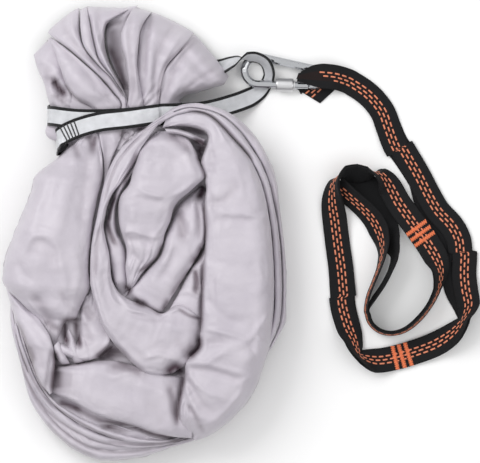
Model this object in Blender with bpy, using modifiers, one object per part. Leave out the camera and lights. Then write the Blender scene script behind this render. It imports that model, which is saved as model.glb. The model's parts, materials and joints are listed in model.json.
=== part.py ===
"""Aerial hammock, bundled for storage.

The gathered hammock fabric lies flat, a white sling is wrapped twice round its
neck, and a steel screw-gate carabiner joins the sling to a black daisy-chain
strap. Metres, +Z up, the object lies on z = 0.
"""
import bpy
import bmesh
import math
from mathutils import Matrix, Vector
from mathutils.bvhtree import BVHTree

for old in list(bpy.data.objects):
    bpy.data.objects.remove(old, do_unlink=True)

# Plan layout: places on the plan are written in picture units, x to the right
# and y downwards, and one picture unit is this long on the real object.
PLAN_UNIT = 0.00125
PLAN_ORIGIN_PX = (242.144, 231.0)

# Webbing
SLING_WIDTH = 0.025
SLING_THICKNESS = 0.002
STRAP_WIDTH = 0.031
STRAP_THICKNESS = 0.002
LAY_GAP = 0.0003
RIBBON_STEP = 0.0085
SLING_STEP = 0.0065
FLOOR_MARGIN = 0.0002
RIBBON_SHARES = (-0.5, 0.0, 0.5)

# Fabric bundle
NECK_HALF_HEIGHT = 0.030
NECK_SQUARENESS = 2.5
SLING_SLACK = 0.0006
BUNDLE_HEIGHT = 0.105

# Carabiner
ROD_DIAMETER = 0.010
WIDE_END_RADIUS = 0.0171
NARROW_END_RADIUS = 0.0101
END_CENTRE_DISTANCE = 0.073
GATE_DIAMETER = 0.009
GATE_OPENING = 0.0426
HINGE_SETBACK = 0.012
HINGE_PIN_DIAMETER = 0.003
PIN_CLEARANCE = 0.00005
TONGUE_THICKNESS = 0.003
TONGUE_WIDTH = 0.0066
TONGUE_FLAT = 0.0026
TONGUE_CHAMFER = 0.0006
GATE_HEEL_CHAMFER = 0.0020
SLOT_CLEARANCE = 0.0003
LATCH_PIN_DIAMETER = 0.0022
SLEEVE_DIAMETER = 0.0167
SLEEVE_LENGTH = 0.022
SLEEVE_EDGE = 0.0018
SLEEVE_ROUND_SHARE = 0.3
SLEEVE_FRONT_SETBACK = 0.0050
STOP_RING_WIDTH = 0.0014
STOP_RING_HEIGHT = 0.0016
SPRING_WIRE = 0.0005
SPRING_DIAMETER = 0.0030
SPRING_LENGTH = 0.0085
SPRING_TURNS = 7
PLUNGER_DIAMETER = 0.0020
PLUNGER_HEAD_LENGTH = 0.0012
PLUNGER_LENGTH = 0.0055
NOSE_FLAT_SHARE = 0.6
NOSE_RISE_SHARE = 0.15

# Strap eye
EYE_CLEARANCE = 0.0009

# Sewn thread bars
BAR_WIDTH = 0.0030
BAR_HEIGHT = 0.0009
BAR_LENGTH = 0.028
BAR_PITCH = 0.0056
SLING_BAR_WIDTH = 0.0018
SLING_BAR_LENGTH = 0.0165
SLING_BAR_PITCH = 0.0045
SLING_BARS = 5
STRAP_BARS = 3
BAR_EDGE_SHARE = 0.3

CUT_OVERRUN = 0.002

UP = Vector((0, 0, 1))
ROD_RADIUS = ROD_DIAMETER / 2
AXIS_HEIGHT = SLEEVE_DIAMETER / 2 + LAY_GAP


def plan(x, y, z=0.0):
    """A point of the plan, in metres."""
    return Vector(((x - PLAN_ORIGIN_PX[0]) * PLAN_UNIT,
                   (PLAN_ORIGIN_PX[1] - y) * PLAN_UNIT, z))


# Collections

parts = bpy.data.collections.new("aerial_hammock")
cutters = bpy.data.collections.new("cutters")
bpy.context.scene.collection.children.link(parts)
bpy.context.scene.collection.children.link(cutters)


def material(name, colour, roughness, metallic):
    made = bpy.data.materials.new(name)
    made.use_nodes = True
    shader = made.node_tree.nodes["Principled BSDF"]
    shader.inputs["Base Color"].default_value = (*colour, 1.0)
    shader.inputs["Roughness"].default_value = roughness
    shader.inputs["Metallic"].default_value = metallic
    return made


FINISHES = {
    "fabric": material("lilac_tricot", (0.62, 0.58, 0.64), 0.45, 0.0),
    "sling": material("white_webbing", (0.80, 0.81, 0.83), 0.55, 0.0),
    "thread": material("black_thread", (0.02, 0.02, 0.02), 0.7, 0.0),
    "steel": material("bright_steel", (0.75, 0.75, 0.76), 0.18, 1.0),
    "sleeve": material("satin_steel", (0.68, 0.69, 0.70), 0.3, 1.0),
    "strap": material("black_webbing", (0.012, 0.012, 0.015), 0.7, 0.0),
    "bar": material("orange_thread", (0.85, 0.20, 0.06), 0.7, 0.0),
}


def add_object(name, mesh, finish, smooth=True, sharp=35):
    item = bpy.data.objects.new(name, mesh)
    parts.objects.link(item)
    mesh.materials.clear()
    mesh.materials.append(FINISHES[finish])
    if smooth:
        mesh.shade_smooth()
        mesh.set_sharp_from_angle(angle=math.radians(sharp))
    return item


def make_cutter(name, mesh, placed):
    item = bpy.data.objects.new(name, mesh)
    cutters.objects.link(item)
    item.matrix_world = placed
    item.hide_render = True
    item.display_type = "WIRE"
    return item


def combine(item, other, operation):
    cut = item.modifiers.new(operation.lower(), "BOOLEAN")
    cut.operation = operation
    cut.solver = "EXACT"
    cut.object = other


def box_mesh(name, size):
    mesh = bpy.data.meshes.new(name)
    shape = bmesh.new()
    bmesh.ops.create_cube(shape, size=1.0)
    bmesh.ops.scale(shape, vec=size, verts=shape.verts)
    shape.to_mesh(mesh)
    shape.free()
    return mesh


def cylinder_mesh(name, radius, length, segments):
    mesh = bpy.data.meshes.new(name)
    shape = bmesh.new()
    bmesh.ops.create_cone(shape, cap_ends=True, segments=segments,
                          radius1=radius, radius2=radius, depth=length)
    shape.to_mesh(mesh)
    shape.free()
    return mesh


def outline_mesh(name, points, thickness):
    """A flat outline filled and extruded both ways, as a mesh."""
    curve = bpy.data.curves.new(name, "CURVE")
    curve.dimensions = "2D"
    curve.fill_mode = "BOTH"
    curve.extrude = thickness / 2
    spline = curve.splines.new("POLY")
    spline.points.add(len(points) - 1)
    for point, (x, y) in zip(spline.points, points):
        point.co = (x, y, 0, 1)
    spline.use_cyclic_u = True
    return curve_as_mesh(name, curve)


def curve_as_mesh(name, curve):
    holder = bpy.data.objects.new(name + "_curve", curve)
    cutters.objects.link(holder)
    bpy.context.view_layer.update()
    view = bpy.context.evaluated_depsgraph_get()
    mesh = bpy.data.meshes.new_from_object(holder.evaluated_get(view))
    bpy.data.objects.remove(holder, do_unlink=True)
    shape = bmesh.new()
    shape.from_mesh(mesh)
    bmesh.ops.remove_doubles(shape, verts=shape.verts, dist=LAY_GAP / 30)
    bmesh.ops.recalc_face_normals(shape, faces=shape.faces)
    shape.to_mesh(mesh)
    shape.free()
    mesh.name = name
    return mesh


def turned_mesh(name, profile, steps):
    """A profile of (radius, height) pairs turned round Z."""
    mesh = bpy.data.meshes.new(name)
    shape = bmesh.new()
    ring = [shape.verts.new((radius, 0, height)) for radius, height in profile]
    pairs = list(zip(ring, ring[1:]))
    if profile[0][0] > 0:
        pairs.append((ring[-1], ring[0]))
    edges = [shape.edges.new(pair) for pair in pairs]
    bmesh.ops.spin(shape, geom=ring + edges, cent=(0, 0, 0), axis=(0, 0, 1),
                   angle=math.tau, steps=steps, use_merge=True)
    bmesh.ops.remove_doubles(shape, verts=shape.verts, dist=LAY_GAP / 30)
    bmesh.ops.recalc_face_normals(shape, faces=shape.faces)
    shape.to_mesh(mesh)
    shape.free()
    return mesh


# Smooth routes: every station holds a place, a width direction and a width.

def catmull(a, b, c, d, t):
    return 0.5 * ((2 * b) + (c - a) * t + (2 * a - 5 * b + 4 * c - d) * t * t
                  + (3 * b - a - 3 * c + d) * t * t * t)


def smooth_stations(stations, step, closed=False):
    """Stations along a smooth curve through the given ones."""
    count = len(stations)
    spans = count if closed else count - 1
    result = []
    for i in range(spans):
        quad = []
        for j in (i - 1, i, i + 1, i + 2):
            quad.append(stations[j % count] if closed else stations[min(max(j, 0), count - 1)])
        reach = (quad[2][0] - quad[1][0]).length
        cuts = max(1, round(reach / step))
        for k in range(cuts):
            t = k / cuts
            place = catmull(*[s[0] for s in quad], t)
            across = quad[1][1].lerp(quad[2][1], t)
            width = quad[1][2] * (1 - t) + quad[2][2] * t
            result.append((place, across, width))
    if not closed:
        result.append(stations[-1])
    return result


def across_from_tilt(stations):
    """Turn (place, tilt, width) into (place, across, width)."""
    made = []
    for i, (place, tilt, width) in enumerate(stations):
        before = stations[max(i - 1, 0)][0]
        after = stations[min(i + 1, len(stations) - 1)][0]
        heading = (after - before)
        heading.z = 0
        heading.normalize()
        left = UP.cross(heading)
        made.append((place, left * math.cos(tilt) + UP * math.sin(tilt), width))
    return made


def square_frames(stations, closed=False):
    """Place, forward, across, normal and width of each station."""
    frames = []
    count = len(stations)
    for i, (place, across, width) in enumerate(stations):
        if closed:
            forward = stations[(i + 1) % count][0] - stations[i - 1][0]
        else:
            forward = stations[min(i + 1, count - 1)][0] - stations[max(i - 1, 0)][0]
        forward.normalize()
        across = across - forward * across.dot(forward)
        across.normalize()
        frames.append((place, forward, across, forward.cross(across), width))
    return frames


def floor_lift(place, across, normal, width, thickness):
    """How far a webbing's section must rise to keep its lowest corner off the floor."""
    low = place.z - abs(across.z) * width / 2 - abs(normal.z) * thickness / 2
    return UP * max(0.0, FLOOR_MARGIN - low)


def ribbon(name, frames, thickness, finish, closed=False):
    """A strip of webbing: an open strip along the frames, thickened evenly."""
    mesh = bpy.data.meshes.new(name)
    shape = bmesh.new()
    rows = []
    for place, forward, across, normal, width in frames:
        raised = place + floor_lift(place, across, normal, width, thickness)
        rows.append([shape.verts.new(raised + across * width * share)
                     for share in RIBBON_SHARES])
    following = rows[1:] + rows[:1] if closed else rows[1:]
    for row, after in zip(rows, following):
        for a, b, c, d in zip(row, row[1:], after, after[1:]):
            shape.faces.new((a, c, d))
            shape.faces.new((a, d, b))
    shape.to_mesh(mesh)
    shape.free()
    item = add_object(name, mesh, finish)
    thick = item.modifiers.new("thickness", "SOLIDIFY")
    thick.thickness = thickness
    thick.offset = 0.0
    thick.use_even_offset = False
    return item


# Carabiner frame: u runs from the wide end's centre to the narrow end's.
WIDE_CENTRE_PX = (258.0, 70.0)
HEADING_SHARE = -0.1255

wide_centre = plan(*WIDE_CENTRE_PX, AXIS_HEIGHT)
along = Vector((1, HEADING_SHARE, 0)).normalized()
aside = UP.cross(along)
narrow_centre = wide_centre + along * END_CENTRE_DISTANCE
taper_share = (WIDE_END_RADIUS - NARROW_END_RADIUS) / END_CENTRE_DISTANCE
tangent_turn = math.acos(taper_share)


def on_arc(centre, radius, angle):
    return centre + (along * math.cos(angle) + aside * math.sin(angle)) * radius


gate_side_wide = on_arc(wide_centre, WIDE_END_RADIUS, -tangent_turn)
gate_side_narrow = on_arc(narrow_centre, NARROW_END_RADIUS, -tangent_turn)
gate_line = (gate_side_wide - gate_side_narrow).normalized()
hinge_place = gate_side_narrow + gate_line * HINGE_SETBACK
gate_tip = hinge_place + gate_line * GATE_OPENING


def gate_frame(distance):
    """A frame on the gate's axis: x towards the nose, z up."""
    side = UP.cross(gate_line)
    return Matrix.Translation(hinge_place + gate_line * distance) @ Matrix(
        (gate_line, side, UP)).transposed().to_4x4()


def turned_on_gate(distance):
    """A frame on the gate's axis whose z runs along the gate."""
    return gate_frame(distance) @ Matrix.Rotation(math.pi / 2, 4, "Y")


# Carabiner body: a bent rod with a claw at the nose and a tongue at the hinge

NOSE_CLAW_LENGTH = 0.0042
CLAW_ROOT = 0.003
TONGUE_REACH = GATE_DIAMETER / 2 + 0.0011
WIDE_ARC_STEPS = 14
NARROW_ARC_STEPS = 10

rod_points = [gate_tip + gate_line * (NOSE_CLAW_LENGTH / 2)]
rod_points.append(gate_side_wide)
wide_sweep = 2 * math.pi - 2 * tangent_turn
for i in range(1, WIDE_ARC_STEPS):
    rod_points.append(on_arc(wide_centre, WIDE_END_RADIUS,
                             -tangent_turn - wide_sweep * i / WIDE_ARC_STEPS))
rod_points.append(on_arc(wide_centre, WIDE_END_RADIUS, tangent_turn))
rod_points.append(on_arc(narrow_centre, NARROW_END_RADIUS, tangent_turn))
narrow_sweep = 2 * tangent_turn
for i in range(1, NARROW_ARC_STEPS):
    rod_points.append(on_arc(narrow_centre, NARROW_END_RADIUS,
                             tangent_turn - narrow_sweep * i / NARROW_ARC_STEPS))
rod_points.append(gate_side_narrow)
rod_points.append(hinge_place - gate_line * TONGUE_REACH)


def tube(name, points, diameter, resolution):
    curve = bpy.data.curves.new(name, "CURVE")
    curve.dimensions = "3D"
    curve.bevel_depth = diameter / 2
    curve.bevel_resolution = resolution
    curve.use_fill_caps = True
    spline = curve.splines.new("POLY")
    spline.points.add(len(points) - 1)
    for point, place in zip(spline.points, points):
        point.co = (*place, 1)
    return curve_as_mesh(name, curve)


carabiner_body = add_object(
    "carabiner_body", tube("carabiner_body", rod_points, ROD_DIAMETER, 4), "steel")

tongue_radius = TONGUE_WIDTH / 2
tongue_start = -TONGUE_REACH - CLAW_ROOT
tongue_outline = [
    (tongue_start, -tongue_radius),
    (TONGUE_FLAT - TONGUE_CHAMFER, -tongue_radius),
    (TONGUE_FLAT, TONGUE_CHAMFER - tongue_radius),
    (TONGUE_FLAT, tongue_radius - TONGUE_CHAMFER),
    (TONGUE_FLAT - TONGUE_CHAMFER, tongue_radius),
    (tongue_start, tongue_radius),
]
tongue = make_cutter("tongue", outline_mesh("tongue", tongue_outline, TONGUE_THICKNESS),
                     gate_frame(0))
combine(carabiner_body, tongue, "UNION")
pin_hole = make_cutter(
    "pin_hole",
    cylinder_mesh("pin_hole", HINGE_PIN_DIAMETER / 2 + PIN_CLEARANCE, SLEEVE_DIAMETER, 24),
    gate_frame(0))
combine(carabiner_body, pin_hole, "DIFFERENCE")

# The claw: a flat tongue at the nose, notched from the inside for the latch pin
claw_half = TONGUE_WIDTH / 2
notch_half = LATCH_PIN_DIAMETER / 2 + SLOT_CLEARANCE
notch_centre = -NOSE_CLAW_LENGTH / 2
claw_outline = [
    (NOSE_CLAW_LENGTH / 2 + CLAW_ROOT, claw_half),
    (-NOSE_CLAW_LENGTH, claw_half),
    (-NOSE_CLAW_LENGTH, -claw_half),
    (notch_centre - notch_half, -claw_half),
    (notch_centre - notch_half, notch_half),
    (notch_centre + notch_half, notch_half),
    (notch_centre + notch_half, -claw_half),
    (NOSE_CLAW_LENGTH / 2 + CLAW_ROOT, -claw_half),
]
claw = make_cutter("claw", outline_mesh("claw", claw_outline, TONGUE_THICKNESS),
                   gate_frame(GATE_OPENING))
combine(carabiner_body, claw, "UNION")

# Gate: a turned rod, forked at both ends and bored for its spring
GATE_TIP_GAP = 0.0004
gate_start = -GATE_DIAMETER / 2
gate_end = GATE_OPENING + NOSE_CLAW_LENGTH / 2 - GATE_TIP_GAP
gate_length = gate_end - gate_start
GATE_SIDES = 24
gate_profile = [
    (0, -gate_length / 2),
    (GATE_DIAMETER / 2 - GATE_HEEL_CHAMFER, -gate_length / 2),
    (GATE_DIAMETER / 2, GATE_HEEL_CHAMFER - gate_length / 2),
    (GATE_DIAMETER / 2, gate_length / 2),
    (0, gate_length / 2),
]
gate = add_object("gate", turned_mesh("gate", gate_profile, GATE_SIDES), "steel")
gate.matrix_world = turned_on_gate(gate_start + gate_length / 2)

slot_height = TONGUE_THICKNESS + 2 * SLOT_CLEARANCE
hinge_slot_reach = math.hypot(TONGUE_FLAT, tongue_radius) + SLOT_CLEARANCE
hinge_slot_length = hinge_slot_reach - gate_start + CUT_OVERRUN
combine(gate, make_cutter(
    "hinge_slot", box_mesh("hinge_slot", (hinge_slot_length, SLEEVE_DIAMETER, slot_height)),
    gate_frame(hinge_slot_reach - hinge_slot_length / 2)), "DIFFERENCE")
nose_slot_depth = NOSE_CLAW_LENGTH * 3 / 2 + SLOT_CLEARANCE
nose_slot_length = nose_slot_depth + CUT_OVERRUN
combine(gate, make_cutter(
    "nose_slot", box_mesh("nose_slot", (nose_slot_length, SLEEVE_DIAMETER, slot_height)),
    gate_frame(gate_end + CUT_OVERRUN - nose_slot_length / 2)), "DIFFERENCE")
combine(gate, make_cutter(
    "gate_pin_hole",
    cylinder_mesh("gate_pin_hole", HINGE_PIN_DIAMETER / 2 + PIN_CLEARANCE, SLEEVE_DIAMETER, 24),
    gate_frame(0)), "DIFFERENCE")
latch_place = GATE_OPENING + notch_centre
combine(gate, make_cutter(
    "latch_hole",
    cylinder_mesh("latch_hole", LATCH_PIN_DIAMETER / 2 + PIN_CLEARANCE, SLEEVE_DIAMETER, 20),
    gate_frame(latch_place)), "DIFFERENCE")

bore_radius = SPRING_DIAMETER / 2 + SPRING_WIRE / 2 + SLOT_CLEARANCE
bore_start = hinge_slot_reach
plunger_seat = bore_start + PLUNGER_LENGTH
bore_end = plunger_seat + SPRING_LENGTH + SLOT_CLEARANCE
bore_length = bore_end - bore_start + CUT_OVERRUN
combine(gate, make_cutter(
    "spring_bore", cylinder_mesh("spring_bore", bore_radius, bore_length, 20),
    turned_on_gate(bore_end - bore_length / 2)), "DIFFERENCE")

# Hinge pin and latch pin
pin_length = math.sqrt(GATE_DIAMETER ** 2 - HINGE_PIN_DIAMETER ** 2)
hinge_pin = add_object(
    "gate_hinge_pin",
    cylinder_mesh("gate_hinge_pin", HINGE_PIN_DIAMETER / 2, pin_length, 24), "steel")
hinge_pin.matrix_world = gate_frame(0)
latch_length = math.sqrt(GATE_DIAMETER ** 2 - LATCH_PIN_DIAMETER ** 2)
latch_pin = add_object(
    "gate_latch_pin",
    cylinder_mesh("gate_latch_pin", LATCH_PIN_DIAMETER / 2, latch_length, 20), "steel")
latch_pin.matrix_world = gate_frame(latch_place)

# Plunger: a headed needle that the spring pushes on the tongue
plunger_tip = TONGUE_FLAT + LAY_GAP
plunger_radius = PLUNGER_DIAMETER / 2
head_radius = SPRING_DIAMETER / 2 + SPRING_WIRE / 2
head_end = plunger_seat - LAY_GAP
plunger_profile = [
    (0, plunger_tip),
    (plunger_radius * NOSE_FLAT_SHARE, plunger_tip + plunger_radius * NOSE_RISE_SHARE),
    (plunger_radius, plunger_tip + plunger_radius * NOSE_FLAT_SHARE),
    (plunger_radius, head_end - PLUNGER_HEAD_LENGTH),
    (head_radius, head_end - PLUNGER_HEAD_LENGTH),
    (head_radius, head_end),
    (0, head_end),
]
plunger = add_object("gate_plunger", turned_mesh("gate_plunger", plunger_profile, 16), "steel")
plunger.matrix_world = turned_on_gate(0)

# Gate spring
SPRING_POINTS_A_TURN = 9
spring_run = SPRING_LENGTH - SPRING_WIRE - LAY_GAP
spring_points = []
for i in range(SPRING_TURNS * SPRING_POINTS_A_TURN + 1):
    share = i / (SPRING_TURNS * SPRING_POINTS_A_TURN)
    turn = math.tau * SPRING_TURNS * share
    spring_points.append(Vector((
        SPRING_DIAMETER / 2 * math.cos(turn),
        SPRING_DIAMETER / 2 * math.sin(turn),
        plunger_seat + LAY_GAP + SPRING_WIRE / 2 + (spring_run - LAY_GAP) * share)))
gate_spring = add_object(
    "gate_spring", tube("gate_spring", spring_points, SPRING_WIRE, 1), "steel")
gate_spring.matrix_world = turned_on_gate(0)

# Lock sleeve, and the stop ring that it butts against
sleeve_bore = GATE_DIAMETER / 2 + SLOT_CLEARANCE
sleeve_outer = SLEEVE_DIAMETER / 2
sleeve_half = SLEEVE_LENGTH / 2
sleeve_profile = [
    (sleeve_bore, sleeve_half),
    (sleeve_outer - SLEEVE_EDGE, sleeve_half),
    (sleeve_outer - SLEEVE_EDGE * SLEEVE_ROUND_SHARE, sleeve_half - SLEEVE_EDGE * SLEEVE_ROUND_SHARE),
    (sleeve_outer, sleeve_half - SLEEVE_EDGE),
    (sleeve_outer, -sleeve_half + SLEEVE_EDGE),
    (sleeve_outer - SLEEVE_EDGE * SLEEVE_ROUND_SHARE, -sleeve_half + SLEEVE_EDGE * SLEEVE_ROUND_SHARE),
    (sleeve_outer - SLEEVE_EDGE, -sleeve_half),
    (sleeve_bore, -sleeve_half),
]
sleeve_centre = GATE_OPENING - SLEEVE_FRONT_SETBACK - sleeve_half
lock_sleeve = add_object(
    "lock_sleeve", turned_mesh("lock_sleeve", sleeve_profile, 32), "sleeve")
lock_sleeve.matrix_world = turned_on_gate(sleeve_centre)
ring_centre = sleeve_centre - sleeve_half - LAY_GAP - STOP_RING_WIDTH / 2
ring_inner = GATE_DIAMETER / 2 + PIN_CLEARANCE
ring_profile = [
    (ring_inner, STOP_RING_WIDTH / 2),
    (ring_inner + STOP_RING_HEIGHT, STOP_RING_WIDTH / 2),
    (ring_inner + STOP_RING_HEIGHT, -STOP_RING_WIDTH / 2),
    (ring_inner, -STOP_RING_WIDTH / 2),
]
stop_ring = add_object(
    "sleeve_stop_ring", turned_mesh("sleeve_stop_ring", ring_profile, 24), "steel")
stop_ring.matrix_world = turned_on_gate(ring_centre)

# Neck of the bundle: a rounded section that the sling is wrapped round

NECK_LEFT_PX = ((94, 49.0), (127, 49.0), (135, 58.0), (160, 58.0))
NECK_RIGHT_PX = ((94, 181.0), (160, 181.0))
neck_bottom = SLING_THICKNESS + LAY_GAP * 2
neck_centre_height = neck_bottom + NECK_HALF_HEIGHT


def read_table(table, at):
    """Straight-line reading of a table of (place, value)."""
    if at <= table[0][0]:
        return table[0][1]
    for (x0, v0), (x1, v1) in zip(table, table[1:]):
        if at <= x1:
            return v0 + (v1 - v0) * (at - x0) / (x1 - x0)
    return table[-1][1]


def neck_place(row, turn, lift, spread=0.0):
    """A point round the neck at a plan row, lift off the surface below its spread."""
    reach = spread / PLAN_UNIT
    left_px = min(read_table(NECK_LEFT_PX, row + side * reach) for side in (-1, 0, 1))
    left = plan(left_px, row).x
    right = plan(read_table(NECK_RIGHT_PX, row), row).x
    half_width = (right - left) / 2 + lift
    half_height = NECK_HALF_HEIGHT + lift
    c, s = math.cos(turn), math.sin(turn)
    x = (left + right) / 2 + half_width * math.copysign(abs(c) ** (2 / NECK_SQUARENESS), c)
    z = neck_centre_height + half_height * math.copysign(abs(s) ** (2 / NECK_SQUARENESS), s)
    return Vector((x, plan(0, row).y, z))


# Sling: two turns round the neck and a bight through the carabiner.
# Each row is a turn angle in degrees, a plan row, and how many layers lie below.
FIRST_TURN = (
    (50, 111.5, 1), (66, 113.5, 1), (80, 116.5, 1), (95, 120.0, 1), (110, 125.0, 1),
    (125, 131.5, 1), (140, 138.0, 1), (152, 142.0, 0.8), (165, 144.5, 0.2), (180, 145.5, 0),
    (192, 145.5, 0), (210, 143.5, 0), (230, 138.0, 0), (255, 124.5, 0), (270, 116.0, 0),
    (285, 109.5, 0), (310, 105.0, 0), (335, 104.5, 0), (350, 104.0, 0),
)
SECOND_TURN = (
    (0, 104.0, 0), (12, 104.0, 0), (30, 105.0, 0), (55, 109.5, 0), (75, 114.5, 0),
    (95, 118.5, 0), (115, 119.5, 0), (135, 118.0, 0), (152, 116.5, 0), (168, 116.0, 0),
    (180, 116.0, 0), (192, 115.0, 0), (210, 112.5, 0), (230, 108.5, 0), (255, 102.0, 0),
    (275, 93.5, 0),
)
TURN_STEP = 6.0
band_lift = LAY_GAP + SLING_THICKNESS / 2
layer_lift = SLING_THICKNESS + LAY_GAP


def turn_stations(table):
    """Stations close together round the neck, eased between the table's rows."""
    made = []
    last = len(table) - 1
    for i in range(last):
        quad = [table[min(max(j, 0), last)] for j in (i - 1, i, i + 1, i + 2)]
        cuts = max(1, round((quad[2][0] - quad[1][0]) / TURN_STEP))
        for k in range(cuts):
            made.append([catmull(*values, k / cuts) for values in zip(*quad)])
    made.append(table[last])
    return [(neck_place(row, math.radians(degrees), band_lift + layer_lift * layers,
                        SLING_WIDTH / 2),
             Vector((0, -1, 0)), SLING_WIDTH) for degrees, row, layers in made]


rod_top = AXIS_HEIGHT + ROD_RADIUS
rod_bottom = AXIS_HEIGHT - ROD_RADIUS
floor_lay = SLING_THICKNESS / 2
under_rod = min(floor_lay + LAY_GAP, rod_bottom - LAY_GAP - SLING_THICKNESS / 2)
stand = SLING_WIDTH / 2
# Rows: plan x, plan y, what the height counts from, the height share in half
# widths of the sling, and the direction across the sling.
SLING_BIGHT = (
    (160.0, 84.0, "floor", 0.0, (0, -1, 0)), (190.0, 74.5, "floor", 0.0, (0, -1, 0)),
    (208.0, 70.5, "floor", 0.0, (0, -1, 0)), (221.0, 67.0, "floor", 0.65, (0, -0.75, 0.65)),
    (230.5, 63.5, "floor", 1.4, (-0.1, 0.1, 1)), (237.5, 60.5, "rod", 0.8, (-0.2, 0.5, 0.8)),
    (245.0, 57.5, "rod", 0.62, (-0.2, 0.85, 0.42)), (255.0, 56.5, "rod", 0.45, (0.15, 0.8, 0.5)),
    (262.0, 61.0, "rod", 0.12, (0.7, 0.4, 0.55)), (264.5, 68.5, "floor", 0.75, (0.85, 0.0, 0.5)),
    (262.5, 76.0, "floor", 0.12, (0.97, -0.1, 0.06)), (260.0, 84.0, "under", 0.0, (0.9, -0.35, 0)),
    (255.0, 91.5, "under", 0.0, (0.6, -0.8, 0)), (248.0, 97.5, "table", 0.5, (0.4, -0.92, 0)),
    (232.0, 103.5, "table", 1.75, (0.3, -0.95, 0)), (211.0, 109.0, "table", 3.35, (0.15, -1, 0)),
    (192.0, 111.5, "table", 4.6, (0.05, -1, 0)),
)
LEG_START = 12
bight_levels = {"floor": floor_lay, "rod": rod_top, "under": under_rod, "table": 0.0}
sling_bight = [(plan(x, y, bight_levels[level] + stand * share), Vector(across))
               for x, y, level, share, across in SLING_BIGHT]
sling_stations = turn_stations(FIRST_TURN) + turn_stations(SECOND_TURN)
sling_stations += [(place, across, SLING_WIDTH) for place, across in sling_bight]
sling_frames = square_frames(
    smooth_stations(sling_stations, SLING_STEP, closed=True), closed=True)
ribbon("choker_sling", sling_frames, SLING_THICKNESS, "sling", closed=True)


def frame_along(frames, start, distance):
    """The frame a distance along a ribbon from one of its frames."""
    step = 1 if distance > 0 else -1
    at = start
    left = abs(distance)
    while left > 0:
        here, there = frames[at], frames[at + step]
        reach = (there[0] - here[0]).length
        if left <= reach:
            t = left / reach
            return [here[i].lerp(there[i], t) for i in range(4)]
        left -= reach
        at += step
    return frames[at][:4]


def bar(name, frames, start, distance, size, lift, finish):
    """A raised thread bar on the upper face of a ribbon."""
    place, forward, across, normal = frame_along(frames, start, distance)
    forward = forward.normalized()
    across = (across - forward * across.dot(forward)).normalized()
    normal = forward.cross(across)
    if normal.z < 0:
        across = -across
        normal = -normal
    item = add_object(name, box_mesh(name, size), finish, smooth=False)
    item.matrix_world = Matrix.Translation(place + normal * (lift + size[2] / 2)) @ Matrix(
        (forward, across, normal)).transposed().to_4x4()
    edge = item.modifiers.new("edge", "BEVEL")
    edge.width = size[2] * BAR_EDGE_SHARE
    edge.segments = 1
    return item


def nearest_index(frames, place):
    return min(range(len(frames)), key=lambda i: (frames[i][0] - place).length)


sling_joint = nearest_index(sling_frames, neck_place(135.5, math.radians(132), band_lift))
for i in range(SLING_BARS):
    bar("sling_bar_tack_%d" % (i + 1), sling_frames, sling_joint,
        (i - (SLING_BARS - 1) / 2) * SLING_BAR_PITCH,
        (SLING_BAR_WIDTH, SLING_BAR_LENGTH, BAR_HEIGHT),
        SLING_THICKNESS / 2 + LAY_GAP * 2, "thread")

# Daisy-chain strap. Both webbings start at the carabiner's narrow end, run as a
# pair round the open figure, and part into a pocket at the far end.
# Rows: plan x, plan y, how many layers lie below, and tilt in degrees. A tilted
# webbing is lifted until its lower edge clears what it lies on.
EYE_WIDTH_SHARE = 0.25
EYE_LENGTH_SHARE = 0.62
eye_lift = ROD_RADIUS + EYE_CLEARANCE + STRAP_THICKNESS / 2
eye_apex = narrow_centre + along * NARROW_END_RADIUS
eye_length = NARROW_END_RADIUS * EYE_LENGTH_SHARE
layer = STRAP_THICKNESS + LAY_GAP
strap_floor = STRAP_THICKNESS / 2
strap_stand = STRAP_WIDTH / 2


def eye_station(forward_distance, up_distance, width_share):
    place = eye_apex + along * forward_distance + UP * up_distance
    return (place, aside.copy(), STRAP_WIDTH * width_share)


EYE_STEPS = 6
FLAP_HEADING = Vector((0.75, 0.66, 0.0))
# Rows: how far forward in rod radii, how far up in eye lifts, and the width share.
EYE_TAIL_SHARES = ((1.2, -1.0, 0.35),)
EYE_HEAD_SHARES = ((1.0, 1.0, 0.25), (2.2, 0.95, 0.75))
FLAP_PX = ((334.0, 93.5), (329.0, 87.5))
FLAP_WIDTH_SHARES = (1.0, 0.8)

loop_stations = []
for (x, y), width_share in zip(FLAP_PX, FLAP_WIDTH_SHARES):
    loop_stations.append((plan(x, y, strap_floor), FLAP_HEADING.copy(), STRAP_WIDTH * width_share))
for forward_share, up_share, width_share in EYE_TAIL_SHARES:
    loop_stations.append(eye_station(
        ROD_RADIUS * forward_share, eye_lift * up_share, width_share))
for i in range(EYE_STEPS + 1):
    turn = math.pi * i / EYE_STEPS
    loop_stations.append(eye_station(
        -eye_length - eye_lift * math.sin(turn), -eye_lift * math.cos(turn), EYE_WIDTH_SHARE))
for forward_share, up_share, width_share in EYE_HEAD_SHARES:
    loop_stations.append(eye_station(
        ROD_RADIUS * forward_share, eye_lift * up_share, width_share))

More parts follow.
